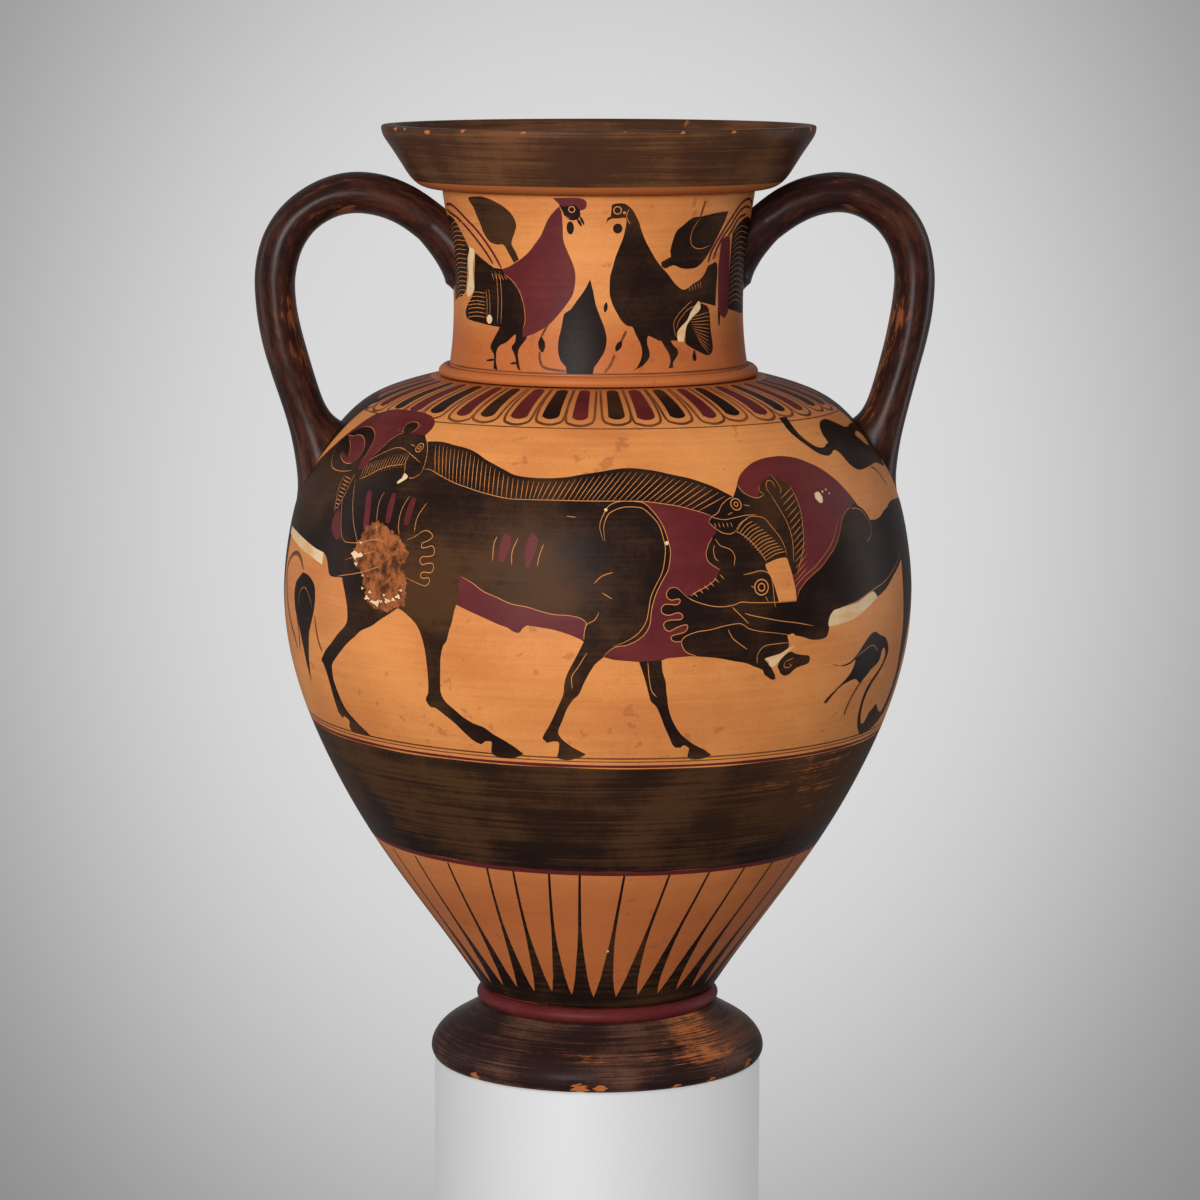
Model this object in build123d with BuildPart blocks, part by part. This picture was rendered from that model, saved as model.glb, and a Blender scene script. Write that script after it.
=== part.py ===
from build123d import *
import os

# Two-handled storage jar: a thrown body, neck, mouth and foot, two pulled handles, and the
# clay rings that cover the two joins. Millimetres, +Z up along the potter's axis, origin at
# the centre of the foot's resting ring. The main picture faces -Y, the handles are at +X and -X.

# Foot: a spreading disc with a hollow underside, thrown by itself.
foot_height = 25.0
foot_base_radius = 69.7
foot_edge_radius = 71.7
foot_stem_radius = 50.4
resting_ring_width = 17.0
foot_hollow_depth = 13.0

# Fillet: the raised ring round the join of body and foot.
fillet_height = 6.0
fillet_bulge = 1.6

# Body: thrown in one, with a plug at its base that the fillet surrounds.
body_height = 270.0
body_plug_radius = 46.0
body_foot_radius = 49.6
belly_height = 174.0
belly_radius = 133.5
body_wall = 6.0
body_floor = 9.0

# Neck and the collar ring at its base.
neck_height = 78.0
neck_base_radius = 63.2
neck_waist_radius = 61.7
neck_top_radius = 66.0
neck_wall = 6.0
collar_width = 4.4
collar_height = 4.2
ledge_margin = 0.6

# Mouth: a flaring echinus with a flat rim.
mouth_height = 27.0
rim_radius = 91.7
rim_width = 6.6
mouth_corner_radius = 76.0
mouth_corner_rise = 2.2
rim_rounding = 0.8

# Handles: pulled straps of oval section, luted to the neck and the shoulder.
handle_thickness = 17.2
handle_depth = 25.0
handle_bow = 14.0
handle_clear_of_mouth = 25.4
handle_clear_of_neck = 3.8
handle_crown_drop = 1.5
handle_root_drop = 15.5
handle_bend_drop = 41.0
root_flare = 7.0
section_count = 13

# Heights of the joins, worked out from the pieces stacked below them.
z_seat = foot_height
z_fillet_top = z_seat + fillet_height
z_belly = z_fillet_top + belly_height
z_ledge = z_seat + body_height
z_neck_top = z_ledge + neck_height
z_rim = z_neck_top + mouth_height
ledge_radius = neck_base_radius + collar_width + ledge_margin
bore_radius = neck_base_radius - neck_wall

# The curve of the wall between fixed rings, as (share of the height, share of the widening).
flank_curve = [(0.167, 0.240), (0.397, 0.573), (0.626, 0.823), (0.810, 0.955)]
shoulder_curve = [(0.256, 0.965), (0.500, 0.874), (0.722, 0.689), (0.878, 0.475), (0.962, 0.202)]


def body_outline():
    """Outer points of the body, from the fillet up to the ledge under the neck."""
    points = [(body_foot_radius, z_fillet_top)]
    for rise, spread in flank_curve:
        radius = body_foot_radius + spread * (belly_radius - body_foot_radius)
        points.append((radius, z_fillet_top + rise * (z_belly - z_fillet_top)))
    points.append((belly_radius, z_belly))
    for rise, spread in shoulder_curve:
        radius = ledge_radius + spread * (belly_radius - ledge_radius)
        points.append((radius, z_belly + rise * (z_ledge - z_belly)))
    points.append((ledge_radius, z_ledge))
    return points


def inner_outline(points, wall):
    """The same points moved inwards, square to the curve, by one wall."""
    inner = []
    for before, here, after in zip(points, points[1:], points[2:]):
        run, rise = after[0] - before[0], after[1] - before[1]
        length = (run**2 + rise**2) ** 0.5
        inner.append((here[0] - wall * rise / length, here[1] + wall * run / length))
    return inner


outer_points = body_outline()
inner_points = inner_outline(outer_points, body_wall)

# ---------------------------------------------------------------- foot
edge_height = foot_height * 0.16
ring_inner_radius = foot_base_radius - resting_ring_width
with BuildPart() as foot:
    with BuildSketch(Plane.XZ):
        with BuildLine():
            Line((ring_inner_radius, 0), (foot_base_radius, 0))
            Spline(
                (foot_base_radius, 0),
                (foot_edge_radius, edge_height),
                (foot_edge_radius - 3.0, foot_height * 0.46),
                (foot_stem_radius + 6.2, foot_height * 0.79),
                (foot_stem_radius, foot_height),
            )
            Line((foot_stem_radius, foot_height), (0, foot_height))
            Line((0, foot_height), (0, foot_hollow_depth))
            Spline(
                (0, foot_hollow_depth),
                (ring_inner_radius * 0.6, foot_hollow_depth * 0.82),
                (ring_inner_radius, 0),
                tangents=[(1, 0), (0.5, -1)],
            )
        make_face()
    revolve(axis=Axis.Z)
foot.part.label = "foot"

# ---------------------------------------------------------------- fillet over the foot join
with BuildPart() as foot_fillet:
    with BuildSketch(Plane.XZ):
        with BuildLine():
            Line((body_plug_radius, z_seat), (foot_stem_radius, z_seat))
            ThreePointArc(
                (foot_stem_radius, z_seat),
                (foot_stem_radius + fillet_bulge, z_seat + fillet_height / 2),
                (body_foot_radius, z_fillet_top),
            )
            Line((body_foot_radius, z_fillet_top), (body_plug_radius, z_fillet_top))
            Line((body_plug_radius, z_fillet_top), (body_plug_radius, z_seat))
        make_face()
    revolve(axis=Axis.Z)
foot_fillet.part.label = "foot_fillet"

# ---------------------------------------------------------------- body
# Solid outline first: it also trims the handle roots to the shoulder.
with BuildPart() as body_envelope:
    with BuildSketch(Plane.XZ):
        with BuildLine():
            Polyline((0, z_seat), (body_plug_radius, z_seat), (body_plug_radius, z_fillet_top))
            Line((body_plug_radius, z_fillet_top), outer_points[0])
            Spline(*outer_points)
            Polyline((ledge_radius, z_ledge), (0, z_ledge), (0, z_seat))
        make_face()
    revolve(axis=Axis.Z)

z_floor = z_seat + body_floor
z_bore_foot = z_ledge - body_wall
with BuildPart() as body:
    add(body_envelope.part)
    with BuildSketch(Plane.XZ):
        with BuildLine():
            Spline((0, z_floor), *inner_points, (bore_radius, z_bore_foot), tangents=[(1, 0), (-1, 0.1)])
            Polyline((bore_radius, z_bore_foot), (bore_radius, z_ledge), (0, z_ledge), (0, z_floor))
        make_face()
    revolve(axis=Axis.Z, mode=Mode.SUBTRACT)
body.part.label = "body"

# ---------------------------------------------------------------- collar over the neck join
with BuildPart() as neck_collar:
    with BuildSketch(Plane.XZ):
        with BuildLine():
            Line((neck_base_radius, z_ledge), (neck_base_radius + collar_width * 0.8, z_ledge))
            ThreePointArc(
                (neck_base_radius + collar_width * 0.8, z_ledge),
                (neck_base_radius + collar_width, z_ledge + collar_height * 0.5),
                (neck_base_radius + collar_width * 0.6, z_ledge + collar_height),
            )
            Line(
                (neck_base_radius + collar_width * 0.6, z_ledge + collar_height),
                (neck_base_radius, z_ledge + collar_height),
            )
            Line((neck_base_radius, z_ledge + collar_height), (neck_base_radius, z_ledge))
        make_face()
    revolve(axis=Axis.Z)
neck_collar.part.label = "neck_collar"

# ---------------------------------------------------------------- neck
z_collar_top = z_ledge + collar_height
neck_clear = z_neck_top - z_collar_top
neck_points = [
    (neck_base_radius, z_collar_top),
    (neck_waist_radius, z_collar_top + neck_clear * 0.17),
    (neck_waist_radius, z_collar_top + neck_clear * 0.52),
    (neck_top_radius, z_neck_top),
]
with BuildPart() as neck_envelope:
    with BuildSketch(Plane.XZ):
        with BuildLine():
            Line((0, z_ledge), (neck_base_radius, z_ledge))
            Line((neck_base_radius, z_ledge), neck_points[0])
            Spline(*neck_points)
            Polyline((neck_top_radius, z_neck_top), (0, z_neck_top), (0, z_ledge))
        make_face()
    revolve(axis=Axis.Z)

with BuildPart() as neck:
    add(neck_envelope.part)
    with BuildSketch(Plane.XZ):
        with BuildLine():
            Polyline((0, z_neck_top), (0, z_ledge), (bore_radius, z_ledge))
            Spline(
                (bore_radius, z_ledge),
                (neck_waist_radius - neck_wall, z_collar_top + neck_clear * 0.35),
                (neck_top_radius - neck_wall, z_neck_top),
            )
            Line((neck_top_radius - neck_wall, z_neck_top), (0, z_neck_top))
        make_face()
    revolve(axis=Axis.Z, mode=Mode.SUBTRACT)
neck.part.label = "neck"

# ---------------------------------------------------------------- mouth
z_corner = z_neck_top + mouth_corner_rise
wall_run = rim_radius - mouth_corner_radius
wall_rise = z_rim - z_corner
rim_inner_radius = rim_radius - rim_width
mouth_bore_radius = neck_top_radius - neck_wall
with BuildPart() as mouth:
    with BuildSketch(Plane.XZ):
        with BuildLine():
            Line((mouth_bore_radius, z_neck_top), (neck_top_radius, z_neck_top))
            Spline(
                (neck_top_radius, z_neck_top),
                (mouth_corner_radius, z_corner),
                (mouth_corner_radius + wall_run * 0.50, z_corner + wall_rise * 0.40),
                (mouth_corner_radius + wall_run * 0.88, z_corner + wall_rise * 0.76),
                (rim_radius, z_rim),
                tangents=[(1, 0.02), (0.1, 1)],
            )
            Line((rim_radius, z_rim), (rim_inner_radius, z_rim))
            Spline(
                (rim_inner_radius, z_rim),
                (mouth_bore_radius + 14.0, z_neck_top + mouth_height * 0.40),
                (mouth_bore_radius, z_neck_top),
            )
        make_face()
    revolve(axis=Axis.Z)
    fillet(mouth.edges().group_by(Axis.Z)[-1], radius=rim_rounding)
mouth.part.label = "mouth"

# ---------------------------------------------------------------- handles
# The strap leaves the neck below the mouth, rises over a crown, bows out and comes down
# along the shoulder. Its centre line hangs on the neck's and the body's own sizes.
haunch, shoulder = outer_points[-5], outer_points[-4]
root_x = (haunch[0] + shoulder[0]) / 2
root_z = (haunch[1] + shoulder[1]) / 2
bow_x = root_x + handle_bow
crown_x = mouth_corner_radius + handle_clear_of_mouth
bend_z = z_neck_top - handle_bend_drop
with BuildLine(Plane.XZ) as handle_line:
    Spline(
        (neck_waist_radius - 9.0, z_neck_top - handle_root_drop - 18.5),
        (neck_top_radius + handle_clear_of_neck, z_neck_top - handle_root_drop),
        (crown_x, z_neck_top - handle_crown_drop),
        (bow_x - 2.6, bend_z + 16.0),
        (bow_x - 1.0, bend_z - 18.0),
        (root_x + 3.5, root_z + 18.0),
        (root_x - 7.0, root_z - 18.0),
    )
spine = handle_line.line

with BuildPart() as right_handle:
    for number in range(section_count):
        share = number / (section_count - 1)
        flare = root_flare * (max(0, 0.16 - share) / 0.16 + max(0, share - 0.80) / 0.20)
        with BuildSketch(Plane(origin=spine @ share, x_dir=(0, 1, 0), z_dir=spine % share)):
            Ellipse((handle_depth + flare) / 2, (handle_thickness + flare) / 2)
    loft()
    add(neck_envelope.part, mode=Mode.SUBTRACT)
    add(body_envelope.part, mode=Mode.SUBTRACT)
right_handle.part.label = "right_handle"

with BuildPart() as left_handle:
    mirror(right_handle.part, about=Plane.YZ)
left_handle.part.label = "left_handle"

# ---------------------------------------------------------------- one file for each piece
os.makedirs("parts", exist_ok=True)
for piece in (foot, foot_fillet, body, neck_collar, neck, mouth, left_handle, right_handle):
    export_step(piece.part, f"parts/{piece.part.label}.step")
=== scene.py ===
"""A two-handled black-figure amphora, 400 mm tall, on a white drum plinth.

Thrown red clay with a painted boar between two lions on the body and two cocks on the neck.
The paint lies on the clay in thin coats, and its fine lines are cut through to the clay.
"""

import math

import bpy
import numpy as np
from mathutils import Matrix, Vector
from mathutils.bvhtree import BVHTree
from mathutils.geometry import delaunay_2d_cdt


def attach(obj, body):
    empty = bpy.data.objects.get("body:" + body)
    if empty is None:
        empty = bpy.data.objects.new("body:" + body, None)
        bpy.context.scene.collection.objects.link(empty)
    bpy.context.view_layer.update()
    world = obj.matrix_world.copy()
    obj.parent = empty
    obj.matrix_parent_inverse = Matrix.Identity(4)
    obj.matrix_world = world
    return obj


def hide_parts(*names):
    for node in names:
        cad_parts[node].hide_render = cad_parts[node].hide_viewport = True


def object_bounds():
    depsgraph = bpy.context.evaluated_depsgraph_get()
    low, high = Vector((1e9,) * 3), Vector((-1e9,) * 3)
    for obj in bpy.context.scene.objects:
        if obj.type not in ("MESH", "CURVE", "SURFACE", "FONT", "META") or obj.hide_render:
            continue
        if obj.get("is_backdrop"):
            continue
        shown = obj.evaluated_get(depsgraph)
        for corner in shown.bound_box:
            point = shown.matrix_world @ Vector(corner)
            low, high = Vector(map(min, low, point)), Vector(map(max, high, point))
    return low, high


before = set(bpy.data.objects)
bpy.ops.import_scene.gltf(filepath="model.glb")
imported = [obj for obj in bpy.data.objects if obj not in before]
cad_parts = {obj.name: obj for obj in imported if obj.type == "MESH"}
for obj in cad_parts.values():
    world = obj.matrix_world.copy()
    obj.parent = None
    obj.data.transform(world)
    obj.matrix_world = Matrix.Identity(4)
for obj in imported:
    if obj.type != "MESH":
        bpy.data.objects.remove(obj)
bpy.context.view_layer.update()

# ---------------------------------------------------------------- camera
# A long lens 1.8 m from the vase, a little above its rim and 3 degrees to the left of its front.
# It is tipped down by 8 degrees, to aim at the middle of the vase.
camera_data = bpy.data.cameras.new("camera")
camera_data.sensor_width = 36
camera_data.lens = 128.6
camera_data.clip_end = 60
camera = bpy.data.objects.new("camera", camera_data)
bpy.context.scene.collection.objects.link(camera)
camera_turn = math.radians(-3)
camera_away = 1.813
camera_high = 0.452
camera.location = (
    camera_away * math.sin(camera_turn) + 0.0004,
    -camera_away * math.cos(camera_turn),
    camera_high,
)
camera.rotation_euler = (math.radians(90 - 7.973), math.radians(-0.1), camera_turn)
bpy.context.scene.camera = camera
bpy.context.scene.view_settings.view_transform = "Standard"


# ---------------------------------------------------------------- backdrop and plinth
# A pale grey backdrop far behind and a white drum as wide as the foot, both glowing by themselves. The
# backdrop's glow is a painted pool of light, brightest behind the shoulder of the vase and fading to
# painted shade at its edges; the drum carries painted shading across its face. They are not part of the
# vase.
class Value:
    """One value in a material, so that the sums of a finish read as arithmetic."""

    def __init__(self, tree, socket):
        self.tree = tree
        self.socket = socket

    def node(self, kind, settings, inputs, out=0):
        made = self.tree.nodes.new(kind)
        for name, setting in settings.items():
            setattr(made, name, setting)
        for name, given in inputs.items():
            feed(self.tree, made.inputs[name], given)
        return Value(self.tree, made.outputs[out])

    def sum(self, operation, *given):
        return self.node("ShaderNodeMath", {"operation": operation}, dict(enumerate(given)))

    def __add__(self, other):
        return self.sum("ADD", self, other)

    def __radd__(self, other):
        return self.sum("ADD", other, self)

    def __sub__(self, other):
        return self.sum("SUBTRACT", self, other)

    def __rsub__(self, other):
        return self.sum("SUBTRACT", other, self)

    def __mul__(self, other):
        return self.sum("MULTIPLY", self, other)

    def __rmul__(self, other):
        return self.sum("MULTIPLY", other, self)

    def rise(self, low, high):
        """0 below low, 1 above high and a smooth change between, or the reverse if low is above high."""
        ends = {"Value": self, "From Min": low, "From Max": high}
        return self.node("ShaderNodeMapRange", {"interpolation_type": "SMOOTHSTEP"}, ends)

    def mix(self, first, second):
        """The first colour where this value is 0, the second where it is 1."""
        return self.node("ShaderNodeMix", {"data_type": "RGBA"}, {0: self, 6: first, 7: second}, 2)

    def part(self, axis):
        """One coordinate of this place: 0 across, 1 from front to back, 2 up."""
        return self.node("ShaderNodeSeparateXYZ", {}, {0: self}, axis)

    def noise(self, size, stretch=(1, 1, 1), detail=3.0, roughness=0.55):
        """Soft noise whose patches are about that many millimetres wide, times the stretch."""
        rates = tuple(1000 / (size * share) for share in stretch)
        place = self.node("ShaderNodeVectorMath", {"operation": "MULTIPLY"}, {0: self, 1: rates})
        return place.node(
            "ShaderNodeTexNoise", {}, {0: place, "Scale": 1.0, "Detail": detail, "Roughness": roughness},
        )

    def bump(self, depth):
        """A surface normal from this height, where 1 stands for that many millimetres."""
        return self.node(
            "ShaderNodeBump", {}, {"Height": self, "Distance": depth / 1000, "Strength": 1.0}, 0,
        )

    def marked(self, name):
        """The named number stored on the mesh."""
        return self.node("ShaderNodeAttribute", {"attribute_name": name}, {}, 2)


def feed(tree, socket, given):
    """Wires a value to a socket, or sets a plain number or colour there."""
    if isinstance(given, Value):
        tree.links.new(given.socket, socket)
    elif isinstance(given, tuple) and socket.type == "RGBA":
        socket.default_value = (*given, 1)
    else:
        socket.default_value = given


def finish(name, **uniform):
    """A new material: its shader's inputs set by name, and the place on the piece to build on."""
    material = bpy.data.materials.new(name)
    material.use_nodes = True
    tree = material.node_tree
    tree.nodes.clear()
    shader = tree.nodes.new("ShaderNodeBsdfPrincipled")
    tree.links.new(shader.outputs[0], tree.nodes.new("ShaderNodeOutputMaterial").inputs[0])
    for key, given in uniform.items():
        feed(tree, shader.inputs[key.replace("_", " ")], given)
    place = Value(tree, tree.nodes.new("ShaderNodeTexCoord").outputs["Object"])
    return material, shader, place


def piece(name, points, faces, material, smooth=True):
    """A mesh object from points in millimetres."""
    mesh = bpy.data.meshes.new(name)
    mesh.from_pydata((np.asarray(points, float) / 1000).tolist(), [], faces)
    mesh.materials.append(material)
    mesh.polygons.foreach_set("use_smooth", [smooth] * len(mesh.polygons))
    made = bpy.data.objects.new(name, mesh)
    bpy.context.scene.collection.objects.link(made)
    return made


def turn(name, outline, material, sides=96, wobble=None):
    """Points (radius, height) turned round the upright axis; the outline closes on itself."""
    outline = np.asarray(outline, float)
    angle = np.radians(np.arange(sides) * 360 / sides)
    radius = outline[:, 0][:, None] * np.ones(sides)
    height = outline[:, 1][:, None] * np.ones(sides)
    if wobble is not None:
        radius, height = wobble(radius, height, angle[None, :] * np.ones(radius.shape))
    points = np.stack([radius * np.sin(angle), -radius * np.cos(angle), height], -1).reshape(-1, 3)
    rows, faces = len(outline), []
    for row in range(rows):
        above = (row + 1) % rows
        if outline[row, 0] < 0.02 and outline[above, 0] < 0.02:
            continue
        for side in range(sides):
            after = (side + 1) % sides
            faces.append(
                (row * sides + side, row * sides + after, above * sides + after, above * sides + side)
            )
    return piece(name, points, faces, material)


paper, paper_shader, place = finish(
    "backdrop_painted_glow", Base_Color=(0, 0, 0), Roughness=1.0, Specular_IOR_Level=0.0,
)
# Painted light: the backdrop glows by itself, brightest in a pool behind the shoulder of the vase and
# fading to painted shade towards its edges.
wide = place.node("ShaderNodeVectorMath", {"operation": "MULTIPLY"}, {0: place, 1: (1.22, 1.0, 1.0)})
away = wide.node("ShaderNodeVectorMath", {"operation": "DISTANCE"}, {0: wide, 1: (0.0, 0.0, -0.14)}, 1)
painted_light_falloff = away.rise(0.36, 1.28)
feed(
    paper.node_tree,
    paper_shader.inputs["Emission Color"],
    painted_light_falloff.mix((0.70, 0.70, 0.70), (0.255, 0.25, 0.255)),
)
paper_shader.inputs["Emission Strength"].default_value = 1.0
corners = [(-3000, 0, -3000), (3000, 0, -3000), (3000, 0, 3000), (-3000, 0, 3000)]
backdrop = piece("backdrop", corners, [(0, 1, 2, 3)], paper, smooth=False)
backdrop.location = (0.16, 3.0, 0.0)
backdrop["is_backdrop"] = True

white_drum_painted_shade, drum_shader, place = finish("white_drum_painted_shade", Roughness=0.6, Emission_Strength=1.0)
# Painted shade: the drum glows by itself. Its colour is lighter across its middle and darker towards its
# left and right sides, and its glow is stronger at the sides.
middle = (place.part(0) * place.part(0)).rise(0.0049, 0.0009)
feed(
    white_drum_painted_shade.node_tree,
    drum_shader.inputs["Base Color"],
    middle.mix((0.2, 0.2, 0.2), (0.36, 0.36, 0.36)),
)
feed(
    white_drum_painted_shade.node_tree,
    drum_shader.inputs["Emission Color"],
    middle.mix((0.3, 0.3, 0.3), (0.2, 0.2, 0.2)),
)
drum = turn("drum", [(0.01, 0), (69.4, 0), (70.3, -1.2), (70.3, -400), (0.01, -400)], white_drum_painted_shade)
drum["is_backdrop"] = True

# ---------------------------------------------------------------- light
# A large softbox at the front left, weak ones above and at the front right that leave no gleam
# on the slip, and a tall strip behind each flank, in a pale room.
softboxes = [
    ("key", (-0.85, -2.2, 0.7), (0.9, 0.9), 64),
    ("top", (-0.9, -0.7, 1.7), (1.0, 0.8), 4),
    ("fill", (1.7, -1.5, 0.6), (0.7, 1.2), 7),
    ("left_strip", (-1.35, 0.5, 0.45), (0.22, 1.4), 3.0),
    ("right_strip", (1.35, 0.45, 0.4), (0.26, 1.4), 4.5),
]
for name, spot, size, power in softboxes:
    lamp_data = bpy.data.lights.new(name, "AREA")
    lamp_data.shape = "RECTANGLE"
    lamp_data.size, lamp_data.size_y = size
    lamp_data.energy = power
    lamp = bpy.data.objects.new(name, lamp_data)
    lamp.location = spot
    lamp.rotation_euler = (Vector((0, 0, 0.2)) - lamp.location).to_track_quat("-Z", "Y").to_euler()
    lamp.visible_glossy = name not in ("top", "fill")
    bpy.context.scene.collection.objects.link(lamp)
room = bpy.data.worlds.new("room")
room.use_nodes = True
room.node_tree.nodes["Background"].inputs[0].default_value = (0.5, 0.5, 0.51, 1)
room.node_tree.nodes["Background"].inputs[1].default_value = 0.34
bpy.context.scene.world = room


# ---------------------------------------------------------------- body
# The jar itself, thrown in red clay with a 6 mm wall, burnished and fired to a soft sheen.
# It stands for the CAD body, whose own outline is measured here.
def trace(node, eye, first, last, count, blur=2, inside=False):
    """Outline (radius, height) of a turned node, seen from a point in its section, angle by angle."""
    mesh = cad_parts[node].data
    corners = [vertex.co[:] for vertex in mesh.vertices]
    tree = BVHTree.FromPolygons(corners, [face.vertices[:] for face in mesh.polygons])
    found = np.zeros((count, 2))
    angles = np.radians(np.linspace(first, last, count))
    for turned in np.radians(np.arange(8) * 45 + 11):
        out = Vector((math.sin(turned), -math.cos(turned), 0))
        centre = out * eye[0] / 1000 + Vector((0, 0, eye[1] / 1000))
        for number, angle in enumerate(angles):
            way = out * math.cos(angle) + Vector((0, 0, math.sin(angle)))
            start, aim = (centre, way) if inside else (centre + way * 0.3, -way)
            if not inside and eye[0] > 20:
                start = centre + way * 0.055
            hit = tree.ray_cast(start, aim)[0]
            found[number] += np.array((math.hypot(hit.x, hit.y), hit.z)) * 1000 / 8
    for _ in range(blur):
        found[1:-1] = (found[:-2] + 2 * found[1:-1] + found[2:]) / 4
    return found


class Wall:
    """The outer face of a turned piece: azimuth from the front and height along the wall to a point."""

    def __init__(self, outline, flat_radius):
        self.outline = outline
        step = np.hypot(*np.diff(outline, axis=0).T)
        self.tape = np.concatenate([[0], np.cumsum(step)])
        self.flat = flat_radius * math.pi / 180
        run = np.gradient(outline, self.tape, axis=0)
        self.out = np.stack([run[:, 1], -run[:, 0]], -1)

    def at(self, azimuth, tape, lift=0.0):
        """Points that far off the wall, which is as slightly uneven as a thrown one is."""
        radius, height = (np.interp(tape, self.tape, self.outline[:, axis]) for axis in (0, 1))
        out_radius, out_height = (np.interp(tape, self.tape, self.out[:, axis]) for axis in (0, 1))
        angle = np.radians(azimuth)
        uneven = 0.16 * np.sin(2 * angle + 0.9) * np.sin(height / 38) + 0.1 * np.sin(
            5 * angle + height / 21
        )
        radius = radius + (lift + uneven) * out_radius
        height = height + lift * out_height
        return np.stack([radius * np.sin(angle), -radius * np.cos(angle), height], -1)


def skin(name, wall, inner, material, sides=288, rows=150):
    """The wall's outer face and a plain inner face, joined into one closed shell."""
    tape = np.linspace(0, wall.tape[-1], rows)
    azimuth = np.arange(sides) * 360 / sides
    outer_points = wall.at(azimuth[None, :] + 0 * tape[:, None], tape[:, None] + 0 * azimuth[None, :])
    angle = np.radians(azimuth)
    inner = np.asarray(inner, float)
    inner_points = np.stack(
        [inner[:, :1] * np.sin(angle), -inner[:, :1] * np.cos(angle), inner[:, 1:] + 0 * angle], -1
    )
    points = np.concatenate([outer_points, inner_points]).reshape(-1, 3)
    total = rows + len(inner)
    faces = []
    for row in range(total):
        above = (row + 1) % total
        for side in range(sides):
            after = (side + 1) % sides
            faces.append(
                (row * sides + side, row * sides + after, above * sides + after, above * sides + side)
            )
    return piece(name, points, faces, material)


def clay_finish(name):
    """Burnished red clay: cloudy tone, faint wheel lines, small dark and pale grains, and painted shade low
    down and on the shoulder.
    """
    material, shader, place = finish(name, Roughness=0.42, Specular_IOR_Level=0.1)
    cloud = place.noise(55, (1, 1, 0.6), 4.0)
    wheel = place.noise(9, (9, 9, 0.16), 2.0)
    grain = place.noise(1.3, detail=1.0)
    pit = place.noise(5.5, detail=3.0)
    tone = (cloud - 0.5) * 1.5 + (wheel - 0.5) * 0.45 + (grain - 0.5) * 0.3 + 0.5
    pale = (0.62, 0.243, 0.07)
    deep = (0.47, 0.157, 0.043)
    colour = tone.rise(0.1, 0.9).mix(deep, pale)
    stain = (pit + place.noise(31) * 0.6).rise(0.96, 1.03)
    colour = (stain * 0.45).mix(colour, (0.25, 0.085, 0.03))
    # Painted shade: the clay turns darker below 125 mm, fully below 70 mm, towards the foot. It is also
    # darker in a band from 278 to 330 mm round the shoulder and the foot of the neck, where the wall turns
    # away from the lamps.
    ends = (
        place.part(2).rise(0.125, 0.07) + place.part(2).rise(0.278, 0.3) * place.part(2).rise(0.33, 0.31)
    ) * 0.7
    colour = ends.mix(colour, (0.335, 0.074, 0.021))
    feed(material.node_tree, shader.inputs["Base Color"], colour)
    feed(material.node_tree, shader.inputs["Roughness"], 0.36 + cloud * 0.1 + grain * 0.06)
    height = wheel * 0.05 + place.noise(2.4, (3, 3, 0.5), 2.0) * 0.018 + grain * 0.006
    feed(material.node_tree, shader.inputs["Normal"], height.bump(1.0))
    return material


body_wall = Wall(trace("body", (0, 165), -70.2, 61.25, 420, blur=6), 130)
cavity = trace("body", (0, 165), -89.5, 66.0, 90, inside=True)[::-1]
body_inner = [(cavity[0, 0], 295), *cavity, (0.01, cavity[-1, 1]), (0.01, 25), (46, 25), (46, 31)]
clay = clay_finish("red_clay")
body = skin("body_clay", body_wall, body_inner, clay)
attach(body, "root")
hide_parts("body")

# ---------------------------------------------------------------- neck
# Thrown apart, of the same red clay, and set on the shoulder: 74 mm of clear wall, slightly
# waisted. It stands for the CAD neck.
neck_wall = Wall(trace("neck", (0, 336), -30.0, 29.2, 160, blur=4), 62)
bore = trace("neck", (0, 336), -34, 31, 40, inside=True)[::-1]
neck_inner = [(60.2, 373), *bore, (57.3, 295), (63.2, 295)]
neck = skin("neck_clay", neck_wall, neck_inner, clay, sides=192, rows=50)
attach(neck, "root")
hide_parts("neck")

# ---------------------------------------------------------------- collar and fillet
# Two small rolled rings of clay over the joints: an orange one under the neck, 4 mm high, and a
# dull red one above the foot, 6 mm high.
def arc(start, middle, end, steps):
    """A smooth bend from start to end that bulges to the middle point."""
    share = np.linspace(0, 1, steps)[:, None]
    pull = 2 * np.array(middle) - (np.array(start) + np.array(end)) / 2
    return [
        *((1 - share) ** 2 * np.array(start) + 2 * share * (1 - share) * pull + share**2 * np.array(end))
    ]


collar_outline = [(63.2, 295.0), *arc((66.7, 295.0), (67.6, 297.1), (65.8, 299.2), 12), (63.2, 299.2)]
collar = turn("neck_collar_clay", collar_outline, clay, 192)
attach(collar, "root")
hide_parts("neck_collar")


def paint_finish(name, colour, worn, roughness, patch=0.5, gloss=0.25):
    """A coat of slip: its colour wears towards a second one in fine, soft-edged patches."""
    material, shader, place = finish(name, Specular_IOR_Level=gloss)
    cloud = place.noise(17, detail=4.0)
    brushed = place.noise(7, (6, 6, 0.3), 3.0)
    grain = place.noise(1.6, detail=2.0)
    thin = (cloud * 0.6 + brushed * 0.28 + grain * 0.12).rise(0.42, 0.66) * patch
    feed(material.node_tree, shader.inputs["Base Color"], thin.mix(colour, worn))
    feed(
        material.node_tree, shader.inputs["Roughness"],
        roughness + (cloud - 0.5) * 0.2 + (grain - 0.5) * 0.12,
    )
    feed(material.node_tree, shader.inputs["Normal"], (brushed * 0.03 + grain * 0.012).bump(1.0))
    return material


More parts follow.
